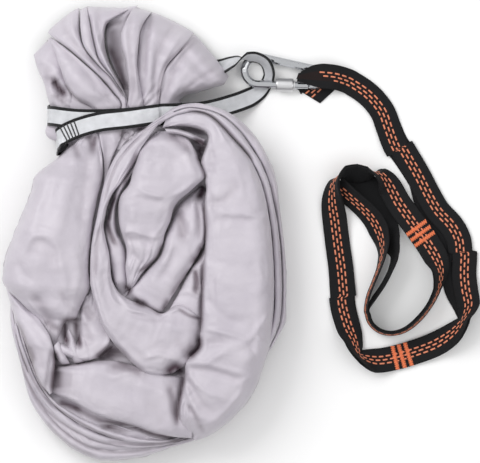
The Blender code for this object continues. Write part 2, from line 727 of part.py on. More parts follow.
PAIR_ROUTE = (
    (348.0, 80.5, 1.6, 0), (360.0, 87.5, 1.0, 0), (372.0, 97.0, 1.0, 0), (383.0, 111.0, 1.0, 0),
    (389.5, 127.0, 1.0, 0), (396.5, 143.0, 1.0, 0), (407.0, 158.0, 1.0, 0),
    (418.0, 175.0, 1.0, 0), (429.0, 195.0, 1.0, 0), (439.0, 211.0, 1.0, 0),
    (452.0, 224.5, 1.0, 0), (460.5, 239.0, 1.0, 0), (463.5, 256.0, 1.0, 0),
    (464.0, 275.0, 1.0, 0), (465.5, 292.0, 1.0, 0), (466.5, 306.0, 1.0, 0),
    (462.5, 321.0, 1.0, 0), (451.0, 333.5, 1.0, 0), (434.0, 343.5, 1.0, 0),
    (415.0, 352.0, 1.0, 0), (394.0, 358.5, 1.0, 0), (378.0, 360.5, 1.0, 0),
    (364.5, 355.0, 1.0, 0), (355.5, 342.0, 1.0, 0), (349.0, 326.0, 1.0, 0),
    (344.0, 308.0, 1.0, 0), (342.5, 290.0, 1.0, 0), (341.0, 268.0, 1.0, 0),
    (338.0, 245.0, 1.0, 0), (335.0, 220.0, 1.6, -8), (333.0, 200.0, 2.3, -35),
    (336.0, 182.0, 2.3, -68), (346.0, 169.5, 2.0, -82), (358.0, 166.0, 1.6, -84),
    (370.0, 168.0, 1.8, -70), (381.0, 175.5, 2.8, -42), (390.0, 187.0, 3.7, -14),
    (398.0, 201.0, 4.0, 0), (409.0, 217.0, 4.0, 0), (421.0, 233.5, 4.0, 0),
    (431.0, 248.0, 4.0, 0), (437.5, 261.0, 3.6, -22), (440.0, 274.0, 2.6, -58),
    (437.5, 289.0, 1.6, -76), (430.0, 305.0, 1.0, -80), (419.0, 319.0, 1.0, -80),
    (406.0, 329.5, 1.0, -82), (392.0, 333.5, 1.0, -84), (379.0, 330.5, 1.0, -84),
    (370.0, 321.5, 1.0, -84), (367.0, 309.0, 1.0, -84),
)
LINED_ROUTE = (
    (368.5, 296.0, 0.6, -84), (373.5, 283.0, 0.6, -84), (379.0, 269.0, 0.6, -82),
    (382.5, 255.0, 0.6, -74), (382.5, 242.0, 0.8, -56), (378.5, 229.5, 1.0, -36),
    (371.5, 217.5, 1.0, -18), (361.5, 206.5, 1.0, -4), (351.0, 198.5, 1.0, 0),
    (341.0, 192.5, 1.0, 0),
)
PLAIN_ROUTE = (
    (374.5, 298.0, 0.5, -82), (383.0, 285.5, 0.5, -82), (390.5, 271.0, 0.5, -82),
    (395.0, 256.0, 0.5, -74), (392.0, 243.5, 0.5, -44), (387.5, 231.0, 0.2, -8),
    (382.5, 217.0, 0.0, 0), (377.0, 201.0, 0.0, 0), (366.5, 191.5, 0.0, 0),
    (354.5, 187.0, 0.0, 0), (343.0, 186.0, 0.0, 0),
)
PLAIN_SHIFT_PX = ((182, 0.0), (200, 5.0), (232, 9.0), (285, 9.0), (308, 4.0), (325, 0.0))
SHIFTED_SHARE = 0.4
TWIST_SPREAD_SHARE = 0.6


def own_stations(route, below=0.0):
    """Stations of one webbing from a route of plan places, layers and tilts."""
    flat = []
    for x, y, layers, tilt in route:
        turn = math.radians(tilt)
        height = strap_floor + layer * (layers + below) + strap_stand * abs(math.sin(turn))
        flat.append((plan(x, y, height), turn, STRAP_WIDTH))
    return across_from_tilt(flat)


pair_frames = square_frames(smooth_stations(own_stations(PAIR_ROUTE, -0.5), RIBBON_STEP))


def pair_side(face):
    """One webbing of the pair: face +1 is the lined one, on top, -1 the plain one."""
    made = []
    last = len(pair_frames) - 1
    for i, (place, forward, across, normal, width) in enumerate(pair_frames):
        before = pair_frames[max(i - 2, 0)]
        after = pair_frames[min(i + 2, last)]
        twist = before[2].angle(after[2]) / (after[0] - before[0]).length
        spread = layer * math.hypot(1, STRAP_WIDTH * TWIST_SPREAD_SHARE * twist)
        under = place - normal * spread / 2
        raised = place + floor_lift(under, across, normal, width, STRAP_THICKNESS)
        shift = 0.0
        if face < 0 and i < last * SHIFTED_SHARE:
            row = PLAN_ORIGIN_PX[1] - place.y / PLAN_UNIT
            shift = read_table(PLAIN_SHIFT_PX, row) * PLAN_UNIT
        moved = raised + normal * spread / 2 * face - across * shift
        made.append((moved, forward, across, normal, width))
    return made


def as_stations(frames):
    return [(place, across, width) for place, forward, across, normal, width in frames]


lined_side = pair_side(1)
plain_side = pair_side(-1)
eye_part = smooth_stations(loop_stations + as_stations(lined_side[:1]), RIBBON_STEP)
lined_end = smooth_stations(as_stations(lined_side[-1:]) + own_stations(LINED_ROUTE), RIBBON_STEP)
plain_end = smooth_stations(as_stations(plain_side[-1:]) + own_stations(PLAIN_ROUTE), RIBBON_STEP)
lined_frames = square_frames(eye_part)[:-1] + lined_side + square_frames(lined_end)[1:]
plain_frames = plain_side[1:] + square_frames(plain_end)[1:]
ribbon("lined_loop_strap", lined_frames, STRAP_THICKNESS, "strap")
ribbon("plain_load_strap", plain_frames, STRAP_THICKNESS, "strap")

TACK_PLACES_PX = {"side": (421.0, 233.5), "base": (402.0, 356.0)}
for where, spot in TACK_PLACES_PX.items():
    centre = nearest_index(lined_frames, plan(*spot, strap_floor))
    for i in range(STRAP_BARS):
        bar("%s_bar_tack_%d" % (where, i + 1), lined_frames, centre,
            (i - (STRAP_BARS - 1) / 2) * BAR_PITCH,
            (BAR_WIDTH, BAR_LENGTH, BAR_HEIGHT), STRAP_THICKNESS / 2 + LAY_GAP, "bar")

# Hammock fabric: one loft of rows from the head of the tuft to the foot of the
# bundle. Each row's ends follow the outline, and its top follows the folds.
LEFT_EDGE_PX = (
    (3, 97), (8, 86), (14, 68), (22, 62), (34, 50), (42, 43), (50, 37), (62, 37), (76, 42),
    (90, 45), (98, 47), (158, 60), (166, 50), (175, 38), (191, 32), (212, 25), (230, 18),
    (246, 12), (262, 7), (281, 5.4), (293, 6), (310, 12), (326, 13), (342, 15), (358, 18),
    (370, 22), (388, 27), (403, 32), (416, 40), (427, 49), (438, 59), (447, 68), (454, 80),
    (459, 100),
)
RIGHT_EDGE_PX = (
    (3, 118), (8, 134), (14, 152), (22, 168), (34, 190), (42, 198), (50, 205), (58, 210),
    (66, 211), (76, 205), (84, 198), (90, 192), (98, 181), (118, 183), (122, 196), (128, 226),
    (134, 246), (144, 258), (158, 268), (166, 272), (191, 277), (230, 283), (262, 286),
    (293, 287), (326, 284), (347, 275), (366, 266), (391, 252), (407, 240), (418, 228),
    (430, 206), (440, 192), (447, 168), (454, 140), (459, 110),
)
ROWS_PX = (
    3, 7, 12, 18, 25, 33, 42, 51, 60, 69, 78, 86, 92, 99, 109, 119, 127, 135, 142, 150, 158,
    165, 172, 180, 188, 196, 204, 212, 220, 228, 236, 244, 252, 260, 268, 276, 284, 292,
    300, 308, 316, 324, 332, 340, 348, 356, 364, 372, 380, 388, 396, 404, 412, 420, 432,
    440, 447, 452, 456, 459,
)
TOP_POINTS = 38
SIDE_POINTS = 3
SMOOTH_FROM_PX = 170
SMOOTH_SHARE = 0.3

# Folds: each lies between two edge lines on the plan. Its heights are shares of
# the bundle's: the crown at even steps along it, then the left and right rims.
FOLD_EDGES_PX = {
    "mass": (
        ((88, 120), (50, 166), (38, 176), (11, 250), (6, 282), (13, 308), (14, 327),
         (33, 398), (50, 423), (67, 439), (84, 450), (100, 455)),
        ((150, 120), (190, 116), (214, 118), (236, 128), (255, 146), (266, 170), (274, 196),
         (279, 225), (283, 285), (282, 322), (248, 391), (232, 411), (210, 430), (165, 445),
         (118, 456))),
    "foot_wrap_outer": (
        ((10.5, 303), (11, 327), (30, 400), (47, 426), (65, 443), (82, 454), (99, 460),
         (117, 460), (145, 456), (212, 434)),
        ((12, 298), (17, 335), (38, 395), (55, 415), (75, 430), (95, 440), (115, 446),
         (135, 448), (175, 442), (213, 429))),
    "foot_wrap_middle": (
        ((12, 298), (17, 335), (28, 368), (38, 395), (55, 415), (75, 430), (95, 440),
         (115, 446), (135, 448), (155, 446), (195, 436)),
        ((14, 298), (20, 332), (42, 388), (60, 406), (82, 421), (122, 438), (142, 441),
         (165, 439), (190, 433))),
    "foot_wrap_inner": (
        ((14, 298), (20, 332), (42, 388), (60, 406), (82, 421), (122, 438), (142, 441),
         (165, 439), (185, 433)),
        ((17, 298), (25, 330), (48, 380), (64, 396), (86, 409), (127, 426), (150, 432),
         (172, 432))),
    "left_lobe": (
        ((96, 118), (90, 140), (66, 152), (36, 175), (31, 193), (8, 250), (3, 272), (5, 285),
         (22, 303), (40, 317), (50, 334)),
        ((118, 118), (106, 162), (94, 222), (90, 266), (91, 287), (80, 310), (66, 328))),
    "left_strip": (
        ((3, 277), (16, 325), (24, 345), (52, 394)),
        ((6, 284), (40, 317), (50, 333), (55, 347), (57, 364), (55, 393))),
    "lower_panel": (
        ((54, 364), (117, 359), (160, 372), (184, 376)),
        ((52, 396), (82, 406), (105, 418), (130, 427), (160, 433), (178, 431))),
    "side_wrap_outer": (
        ((146, 128), (176, 107.5), (190, 104), (204, 104.5), (229, 113), (252, 132),
         (267, 155), (276, 179), (286.7, 272), (286, 323), (274, 347)),
        ((158, 126), (172, 115), (187, 109), (204, 110), (221, 114), (238, 124), (252, 147),
         (269, 186), (279, 240), (282, 300), (277, 340))),
    "side_wrap_inner": (
        ((158, 126), (172, 115), (187, 109), (204, 110), (221, 114), (238, 124), (252, 147),
         (269, 186), (279, 240), (282, 300), (277, 340)),
        ((162, 131), (190, 114.5), (204, 116), (217, 122), (240, 147), (252, 164),
         (262, 186), (269, 213), (273.5, 272), (273, 340))),
    "right_panel": (
        ((170, 129), (207, 140), (207, 150), (203, 163), (206, 176), (204, 200), (206, 240),
         (200, 334), (197, 348), (187, 364), (176, 418), (164, 436)),
        ((178, 121), (192, 115), (208, 117), (225, 130), (252, 164), (262, 186), (273, 240),
         (274, 330), (271, 350), (252, 392), (235, 415), (212, 434), (166, 448))),
    "third_lobe": (
        ((205, 246), (170, 308)),
        ((209, 250), (206, 325))),
    "second_lobe": (
        ((202, 186), (180, 204), (160, 255), (130, 289)),
        ((208, 196), (206, 240), (197, 258), (172, 292), (160, 314))),
    "narrow_fold": (
        ((141, 150), (113, 199), (105, 230), (112, 276), (120, 292)),
        ((147, 150), (119, 200), (117, 215), (119, 232), (126, 250), (130, 288))),
    "centre_lobe": (
        ((158, 132), (148, 140), (141, 150), (130, 183), (121, 197), (119, 215), (121, 230),
         (128, 247), (127, 268), (130, 286)),
        ((176, 131), (190, 141), (206, 176), (176, 204), (158, 256), (133, 288))),
    "roll_and_pouch": (
        ((166, 117), (140, 132), (122, 147), (111, 164), (105, 183), (92, 247), (91, 279),
         (100, 318), (110, 337), (140, 369), (150, 374), (166, 374), (186, 364)),
        ((177, 122), (160, 131), (142, 149), (135, 165), (121, 183), (113, 199), (107, 215),
         (105, 229), (113, 279), (122, 294), (163, 313), (178, 304), (191, 309), (204, 318))),
    "pocket_flap": (
        ((91, 288), (84, 302), (80, 334), (74, 347), (62, 343), (54, 346)),
        ((95, 292), (100, 312), (114, 346), (98, 357), (84, 361), (57, 352))),
    "tuft_corner": (
        ((58, 108), (50, 104), (33, 55)),
        ((90, 106), (76, 94), (58, 52), (49, 38))),
    "tuft_upper_left": (
        ((122, 104), (98, 76), (48, 34)),
        ((127, 104), (113, 80), (92, 58), (84, 46), (80, 9))),
    "tuft_narrow": (
        ((127, 104), (113, 80), (92, 58), (84, 46), (80, 9)),
        ((127, 103), (114, 80), (99, 60), (87, 6))),
    "tuft_pocket": (
        ((127, 102), (110, 60), (106, 40), (108, 18)),
        ((130, 100), (126, 45), (136, 12))),
    "tuft_flap_left": (
        ((127, 103), (114, 80), (99, 60), (87, 6)),
        ((128, 102), (113, 72), (106, 45), (108, 25), (132, 8))),
    "tuft_right": (
        ((158, 104), (163, 67), (193, 35)),
        ((178, 106), (182, 97), (217, 87), (224, 84), (228, 78))),
    "tuft_broad": (
        ((140, 104), (136, 69), (138, 48), (141, 28), (151, 13)),
        ((161, 104), (167, 67), (193, 34))),
    "tuft_flap": (
        ((125, 104), (128, 92), (121, 45), (122, 31), (134, 6)),
        ((144, 104), (138, 69), (139, 48), (142, 28), (152, 12))),
    "tuft_panel": (
        ((100, 107), (86, 106), (75, 97), (67, 86), (49, 38)),
        ((122, 104), (98, 76), (51, 37))),
}
FOLD_HEIGHT_SHARES = {
    "mass": (
        (0.48, 0.55, 0.59, 0.59, 0.57, 0.53, 0.48),
        (0.23, 0.21, 0.21, 0.21),
        (0.23, 0.21, 0.21, 0.21)),
    "foot_wrap_outer": (
        (0.32, 0.40, 0.44, 0.46, 0.44, 0.38),
        (0.23, 0.23, 0.23),
        (0.36, 0.42, 0.44, 0.42, 0.38)),
    "foot_wrap_middle": (
        (0.42, 0.50, 0.53, 0.55, 0.53, 0.48),
        (0.34, 0.42, 0.46, 0.46, 0.42),
        (0.40, 0.48, 0.51, 0.51, 0.48)),
    "foot_wrap_inner": (
        (0.50, 0.57, 0.63, 0.63, 0.61, 0.55),
        (0.40, 0.50, 0.53, 0.53, 0.50),
        (0.48, 0.55, 0.57, 0.57, 0.55)),
    "left_lobe": (
        (0.51, 0.57, 0.74, 0.88, 0.94, 0.97, 0.97, 0.91, 0.82, 0.72),
        (0.48, 0.42, 0.30, 0.27, 0.27, 0.29, 0.46, 0.59),
        (0.50, 0.59, 0.67, 0.70, 0.67, 0.61)),
    "left_strip": (
        (0.48, 0.61, 0.72, 0.78, 0.76, 0.70),
        (0.25, 0.36, 0.48, 0.57, 0.59, 0.57),
        (0.42, 0.55, 0.67, 0.70, 0.67, 0.63)),
    "lower_panel": (
        (0.69, 0.76, 0.80, 0.80, 0.78, 0.74),
        (0.59, 0.63, 0.63, 0.63, 0.63),
        (0.55, 0.59, 0.59, 0.59, 0.57)),
    "side_wrap_outer": (
        (0.76, 0.80, 0.80, 0.70, 0.59, 0.51, 0.51, 0.51, 0.48),
        (0.70, 0.72, 0.69, 0.44, 0.27, 0.23, 0.23, 0.23, 0.23),
        (0.72, 0.74, 0.70, 0.61, 0.51, 0.48, 0.48, 0.48, 0.44)),
    "side_wrap_inner": (
        (0.78, 0.84, 0.84, 0.76, 0.69, 0.65, 0.63, 0.63, 0.59),
        (0.72, 0.76, 0.72, 0.63, 0.55, 0.51, 0.51, 0.51, 0.48),
        (0.74, 0.78, 0.76, 0.69, 0.61, 0.59, 0.57, 0.57, 0.55)),
    "right_panel": (
        (0.80, 0.88, 0.94, 0.97, 0.98, 0.98, 0.97, 0.95, 0.90, 0.80, 0.69, 0.53),
        (0.74, 0.78, 0.78, 0.78, 0.78, 0.78, 0.76, 0.72, 0.65, 0.48),
        (0.76, 0.70, 0.61, 0.59, 0.57, 0.48, 0.29, 0.25, 0.25, 0.25)),
    "third_lobe": (
        (0.74, 0.80, 0.80, 0.76, 0.72), (0.67,), (0.67,)),
    "second_lobe": (
        (0.67, 0.78, 0.86, 0.88, 0.86, 0.82, 0.76),
        (0.57, 0.63, 0.65, 0.67, 0.69, 0.69),
        (0.72, 0.76, 0.76, 0.74, 0.70, 0.69)),
    "narrow_fold": (
        (0.70, 0.76, 0.78, 0.80, 0.80, 0.78, 0.76, 0.74), (0.65,), (0.65,)),
    "centre_lobe": (
        (0.70, 0.84, 0.93, 0.98, 0.99, 0.97, 0.93, 0.90, 0.84, 0.76),
        (0.67, 0.74, 0.76, 0.76, 0.74, 0.70),
        (0.67, 0.76, 0.80, 0.78, 0.74, 0.70)),
    "roll_and_pouch": (
        (0.80, 0.84, 0.86, 0.88, 0.90, 0.91, 0.91, 0.90, 0.86, 0.84),
        (0.72, 0.74, 0.76, 0.76, 0.76, 0.74, 0.70, 0.67, 0.63),
        (0.74, 0.76, 0.78, 0.78, 0.78, 0.76, 0.70, 0.67, 0.67)),
    "pocket_flap": (
        (0.67, 0.69, 0.69, 0.69, 0.72, 0.72, 0.70), (0.59,), (0.59,)),
    "tuft_corner": (
        (0.44, 0.46, 0.48, 0.48, 0.42, 0.32), (0.23,), (0.38,)),
    "tuft_upper_left": (
        (0.50, 0.55, 0.61, 0.63, 0.57, 0.46), (0.42,), (0.51, 0.53, 0.51, 0.42, 0.30)),
    "tuft_narrow": (
        (0.53, 0.61, 0.67, 0.67, 0.57, 0.44),
        (0.50, 0.55, 0.57, 0.51, 0.36),
        (0.50, 0.55, 0.57, 0.51, 0.36)),
    "tuft_pocket": (
        (0.42, 0.40, 0.36, 0.32, 0.23), (0.32,), (0.32,)),
    "tuft_flap_left": (
        (0.53, 0.59, 0.63, 0.63, 0.55, 0.44),
        (0.48, 0.51, 0.53, 0.48, 0.36),
        (0.42, 0.42, 0.44, 0.40, 0.32)),
    "tuft_right": (
        (0.50, 0.57, 0.59, 0.57, 0.48, 0.32),
        (0.46, 0.50, 0.51, 0.50, 0.42),
        (0.32, 0.23, 0.19, 0.17, 0.17)),
    "tuft_broad": (
        (0.51, 0.57, 0.63, 0.63, 0.53, 0.38),
        (0.44, 0.48, 0.48, 0.46, 0.38),
        (0.48, 0.51, 0.53, 0.50, 0.38)),
    "tuft_flap": (
        (0.55, 0.63, 0.72, 0.74, 0.69, 0.51),
        (0.50, 0.55, 0.61, 0.59, 0.44),
        (0.48, 0.53, 0.59, 0.57, 0.44)),
    "tuft_panel": (
        (0.55, 0.63, 0.67, 0.67, 0.61, 0.51, 0.42),
        (0.48, 0.46, 0.44, 0.42, 0.38),
        (0.53, 0.57, 0.57, 0.53, 0.44)),
}
FOLD_SQUARENESS = 2.4
FOLD_ROWS = 16
FOLD_COLUMNS = 14
FOLD_EASE = 0.0026
BASE_HEIGHT_SHARE = 0.42
SIDE_HEIGHT_SHARE = 0.42
LOWER_HEIGHT_SHARE = 0.12
UNDER_TUCK = 0.011
LOWER_TUCK_SHARE = 0.3
LEAST_DEPTH = 0.006


def spread_evenly(points, count):
    """Evenly spaced places on a line of plan points."""
    line = [Vector((x, y, 0)) for x, y in points]
    reach = [0.0]
    for before, after in zip(line, line[1:]):
        reach.append(reach[-1] + (after - before).length)
    made = []
    for i in range(count):
        goal = reach[-1] * i / (count - 1)
        made.append(Vector((read_table(list(zip(reach, [place.x for place in line])), goal),
                            read_table(list(zip(reach, [place.y for place in line])), goal), 0)))
    return made


def read_share(shares, share):
    """A reading between evenly spaced shares."""
    last = len(shares) - 1
    return read_table([(i / max(last, 1), value) for i, value in enumerate(shares)], share)


def folds_surface():
    """All the folds as arched sheets, to read the heights of the cloth's top from."""
    places = []
    faces = []
    for name, (left, right) in FOLD_EDGES_PX.items():
        crown, left_rim, right_rim = FOLD_HEIGHT_SHARES[name]
        first = len(places)
        lefts = spread_evenly(left, FOLD_ROWS)
        rights = spread_evenly(right, FOLD_ROWS)
        for i in range(FOLD_ROWS):
            along_share = i / (FOLD_ROWS - 1)
            for j in range(FOLD_COLUMNS):
                side = -math.cos(math.pi * j / (FOLD_COLUMNS - 1))
                place = lefts[i].lerp(rights[i], 0.5 + 0.5 * side)
                rim = (read_share(left_rim, along_share) * (0.5 - 0.5 * side)
                       + read_share(right_rim, along_share) * (0.5 + 0.5 * side))
                arch = max(0.0, 1 - abs(side) ** FOLD_SQUARENESS) ** (1 / FOLD_SQUARENESS)
                height = rim + (read_share(crown, along_share) - rim) * arch
                places.append(plan(place.x, place.y, height * BUNDLE_HEIGHT))
        for i in range(FOLD_ROWS - 1):
            for j in range(FOLD_COLUMNS - 1):
                at = first + i * FOLD_COLUMNS + j
                faces.append((at, at + 1, at + FOLD_COLUMNS + 1, at + FOLD_COLUMNS))
    return BVHTree.FromPolygons(places, faces)


fold_tops = folds_surface()


def fold_height(x, y):
    """Height of the folds over a plan point, eased over about one cell of the loft."""
    reach = FOLD_EASE / PLAN_UNIT
    total = 0.0
    around = ((0, 0), (reach, 0), (-reach, 0), (0, reach), (0, -reach))
    for dx, dy in around:
        hit = fold_tops.ray_cast(plan(x + dx, y + dy, BUNDLE_HEIGHT * 2), -UP)[0]
        total += hit.z if hit else BUNDLE_HEIGHT * BASE_HEIGHT_SHARE
    return total / len(around)


SLING_CLEARANCE = 0.0048


def leg_underside(x):
    """Height under the sling's lower leg, where it runs down to the carabiner."""
    table = [(place.x, place.z) for place, across in sling_bight[LEG_START:]]
    table.append((sling_stations[0][0].x, sling_stations[0][0].z))
    table.sort()
    return read_table(table, plan(x, 0).x) - SLING_THICKNESS / 2 - SLING_CLEARANCE


def neck_limit(x, y):
    """The neck's own top at a plan point, or None outside the neck."""
    left = read_table(NECK_LEFT_PX, y)
    right = read_table(NECK_RIGHT_PX, y)
    share = abs((x - (left + right) / 2) / ((right - left) / 2))
    if share >= 1:
        return None
    return neck_centre_height + (NECK_HALF_HEIGHT - SLING_SLACK) * (
        1 - share ** NECK_SQUARENESS) ** (1 / NECK_SQUARENESS)


NECK_START_PX = 92
NECK_END_PX = ((49, 162.0), (96, 160.0), (112, 138.0), (183, 132.0))
NECK_SECTION_END_PX = 160
LEG_END_PX = 134
BLEND_RUN = 0.0325
OUTSIDE_START_SHARE = 0.8


def fabric_height(x, y):
    if y < NECK_START_PX:
        return fold_height(x, y)
    limit = neck_limit(x, min(y, NECK_SECTION_END_PX))
    end = read_table(NECK_END_PX, x)
    body = fold_height(x, y)
    if y < end and limit is not None:
        return limit
    if y < LEG_END_PX:
        return min(body, leg_underside(x))
    rise = min(1.0, max(0.0, (y - end) * PLAN_UNIT / BLEND_RUN))
    start = limit if limit is not None else body * OUTSIDE_START_SHARE
    return start * (1 - rise) + body * rise


UNDER_TABLE_PX = ((44, 0.0), (58, 1.5), (118, 1.5), (164, 1.0), (176, 0.0))
NECK_CLEAR_PX = 120
NECK_UNDER_TURNS = (math.radians(256), math.radians(226), math.radians(196))


def fabric_row(y):
    """One closed row of the loft: up the left side, over the top, down the right."""
    in_neck = NECK_START_PX <= y <= NECK_LEFT_PX[-1][0]
    slack = SLING_SLACK / PLAN_UNIT
    left = read_table(NECK_LEFT_PX, y) + slack if in_neck else read_table(LEFT_EDGE_PX, y)
    right = read_table(RIGHT_EDGE_PX, y)
    if in_neck and y < NECK_CLEAR_PX:
        right = min(right, read_table(NECK_RIGHT_PX, y) - slack)
    low = neck_bottom * read_table(UNDER_TABLE_PX, y)
    tuck = min(UNDER_TUCK / PLAN_UNIT, (right - left) / 4)
    top = []
    for i in range(TOP_POINTS):
        share = 0.5 - 0.5 * math.cos(math.pi * (i + 0.5) / TOP_POINTS)
        x = left + (right - left) * share
        top.append(plan(x, y, max(fabric_height(x, y), low + LEAST_DEPTH)))
    sides = []
    for edge, inward, end in ((left, 1, top[0]), (right, -1, top[-1])):
        corner = plan(edge + inward * tuck, y, low)
        lower = plan(edge + inward * tuck * LOWER_TUCK_SHARE, y,
                     low + (end.z - low) * LOWER_HEIGHT_SHARE)
        side = plan(edge, y, low + (end.z - low) * SIDE_HEIGHT_SHARE)
        if in_neck and (inward > 0 or y < NECK_CLEAR_PX):
            corner, lower, side = [
                neck_place(y, turn if inward > 0 else math.pi - turn, -SLING_SLACK)
                for turn in NECK_UNDER_TURNS]
        sides.append([corner, lower, side])
    return sides[0] + top + sides[1][::-1]


fabric_mesh = bpy.data.meshes.new("hammock_fabric")
cloth = bmesh.new()
rings = [[cloth.verts.new(place) for place in fabric_row(y)] for y in ROWS_PX]
for upper, lower in zip(rings, rings[1:]):
    count = len(upper)
    for i in range(count):
        j = (i + 1) % count
        cloth.faces.new((upper[i], upper[j], lower[j], lower[i]))
cloth.faces.new(rings[0])
cloth.faces.new(list(reversed(rings[-1])))
body_tops = [vertex for row, ring in zip(ROWS_PX, rings) if SMOOTH_FROM_PX < row
             for vertex in ring[SIDE_POINTS:-SIDE_POINTS]]
bmesh.ops.smooth_vert(cloth, verts=body_tops, factor=SMOOTH_SHARE, use_axis_z=True)
bmesh.ops.recalc_face_normals(cloth, faces=cloth.faces)
cloth.to_mesh(fabric_mesh)
cloth.free()
add_object("hammock_fabric", fabric_mesh, "fabric", sharp=180)
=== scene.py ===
"""Looks of the bundled aerial hammock: a gathered sheet of lilac satin tricot,
a white choker sling, a steel screw-gate carabiner and a black daisy-chain
strap, lying on a pale floor and seen from straight above.
"""

import json
import math

import bmesh
import bpy
import numpy as np
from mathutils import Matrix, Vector, noise

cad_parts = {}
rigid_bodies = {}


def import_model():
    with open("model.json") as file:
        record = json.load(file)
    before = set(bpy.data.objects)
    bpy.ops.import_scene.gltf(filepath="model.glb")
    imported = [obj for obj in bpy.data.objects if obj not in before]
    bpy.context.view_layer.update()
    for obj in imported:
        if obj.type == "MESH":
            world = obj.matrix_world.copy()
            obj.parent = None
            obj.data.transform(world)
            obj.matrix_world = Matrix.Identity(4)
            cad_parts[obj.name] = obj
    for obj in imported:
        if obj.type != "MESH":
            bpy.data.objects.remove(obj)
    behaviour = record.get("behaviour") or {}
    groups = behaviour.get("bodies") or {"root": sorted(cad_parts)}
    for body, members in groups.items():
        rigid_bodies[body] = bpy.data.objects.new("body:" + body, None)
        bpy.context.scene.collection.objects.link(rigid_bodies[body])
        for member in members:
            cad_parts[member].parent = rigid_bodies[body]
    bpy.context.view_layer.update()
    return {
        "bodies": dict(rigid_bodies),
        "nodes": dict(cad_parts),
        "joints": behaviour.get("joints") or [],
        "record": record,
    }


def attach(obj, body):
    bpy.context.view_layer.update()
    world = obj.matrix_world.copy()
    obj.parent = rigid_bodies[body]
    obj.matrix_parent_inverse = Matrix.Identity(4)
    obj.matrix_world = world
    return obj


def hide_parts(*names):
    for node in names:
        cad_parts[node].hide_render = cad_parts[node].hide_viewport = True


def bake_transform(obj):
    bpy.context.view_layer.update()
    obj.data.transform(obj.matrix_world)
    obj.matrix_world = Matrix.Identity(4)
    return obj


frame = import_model()


# Plan. Places are written in plan units of 1.25 mm, x to the right and y
# downwards, as the CAD part has them, and turned into metres here.

UNIT = 0.00125
CENTRE_X = 242.144
CENTRE_Y = 231.0


def plan(x, y, z=0.0):
    """The place in metres of a plan point, at a height in metres."""
    return Vector(((x - CENTRE_X) * UNIT, (CENTRE_Y - y) * UNIT, z))


def on_plan(x, y):
    """Metres turned back into plan units."""
    return x / UNIT + CENTRE_X, CENTRE_Y - y / UNIT


def added(name, data):
    """A new object in the scene that shows the data."""
    made = bpy.data.objects.new(name, data)
    bpy.context.scene.collection.objects.link(made)
    return made


def built(name, shape):
    """A new object in the scene from a bmesh, which is freed."""
    mesh = bpy.data.meshes.new(name)
    shape.to_mesh(mesh)
    shape.free()
    return added(name, mesh)


# Camera. It looks straight down from far above, so that upright faces stay
# hidden and the plan keeps its proportions.

camera_data = bpy.data.cameras.new("camera")
camera = added("camera", camera_data)
camera_data.lens = 480.0
camera_data.clip_end = 30.0
camera.location = plan(240.0, 231.5, 8.03)
bpy.context.scene.camera = camera
bpy.context.scene.view_settings.view_transform = "Standard"


# Floor and light. A pale floor, a broad softbox up on the left, a weaker one
# on the right, and a sky that darkens towards the horizon so that round
# steel keeps dark edges.

def surface(name, colour, roughness, metallic=0.0):
    """A material, its node tree and its shader."""
    made = bpy.data.materials.new(name)
    made.use_nodes = True
    tree = made.node_tree
    shader = tree.nodes["Principled BSDF"]
    shader.inputs["Base Color"].default_value = (*colour, 1.0)
    shader.inputs["Roughness"].default_value = roughness
    shader.inputs["Metallic"].default_value = metallic
    return made, tree, shader


def grown(tree, kind, **values):
    """A new node of a kind, with settings and input values by name."""
    node = tree.nodes.new(kind)
    for name, value in values.items():
        if name in node.inputs:
            node.inputs[name].default_value = value
        else:
            setattr(node, name, value)
    return node


def toned(tree, factor, low, high, start=0.0, stop=1.0):
    """The colour from low to high, as a factor runs from start to stop."""
    ramp = grown(tree, "ShaderNodeValToRGB")
    for end, position, colour in ((0, start, low), (1, stop, high)):
        ramp.color_ramp.elements[end].position = position
        ramp.color_ramp.elements[end].color = (*colour, 1)
    tree.links.new(factor, ramp.inputs["Fac"])
    return ramp.outputs["Color"]


def uneven(tree, factor, colour, darker, lighter):
    """The colour, from darker to lighter by shares of itself."""
    return toned(tree, factor, [c * darker for c in colour], [min(1, c * lighter) for c in colour])


shape = bmesh.new()
bmesh.ops.create_grid(shape, x_segments=2, y_segments=2, size=6.0)
floor = built("floor", shape)
floor.data.materials.append(surface("floor_paper", (0.96, 0.96, 0.96), 0.9)[0])

world = bpy.data.worlds.new("studio")
bpy.context.scene.world = world
world.use_nodes = True
sky = world.node_tree
split = grown(sky, "ShaderNodeSeparateXYZ")
sky.links.new(grown(sky, "ShaderNodeTexCoord").outputs["Generated"], split.inputs[0])
sky_colour = toned(sky, split.outputs["Z"], (0.07, 0.07, 0.08), (1.0, 1.0, 1.0), 0.16, 0.66)
sky.links.new(sky_colour, sky.nodes["Background"].inputs["Color"])
sky.nodes["Background"].inputs["Strength"].default_value = 0.92


def softbox(name, place, size, power):
    """A square lamp that faces the middle of the object."""
    data = bpy.data.lights.new(name, "AREA")
    data.shape = "SQUARE"
    data.size = size
    data.energy = power
    lamp = added(name, data)
    lamp.location = place
    lamp.rotation_euler = (-Vector(place)).to_track_quat("-Z", "Y").to_euler()


softbox("key_light", (-1.5, 1.3, 2.2), size=1.5, power=38.0)
softbox("fill_light", (1.6, -0.5, 1.9), size=1.4, power=5.0)


# Hammock fabric. One sheet of satin tricot, gathered and folded up. Each fold
# is a grid bent between two edge lines over a crown, with its rims rolled
# under, so that neighbours meet in deep grooves.

cloth = bmesh.new()
# Each vertex keeps a weight: it lets the waves rise on a fold's crown, and it carries the painted shade
# that the satin colour reads, which darkens rims and creases.
crest_and_painted_shade = cloth.verts.layers.float.new("crest_and_painted_shade")


def eased(a, b, c, d, t):
    """A place between b and c on the smooth curve through four values."""
    return 0.5 * (2 * b + (c - a) * t + (2 * a - 5 * b + 4 * c - d) * t * t
                  + (3 * b - a - 3 * c + d) * t ** 3)


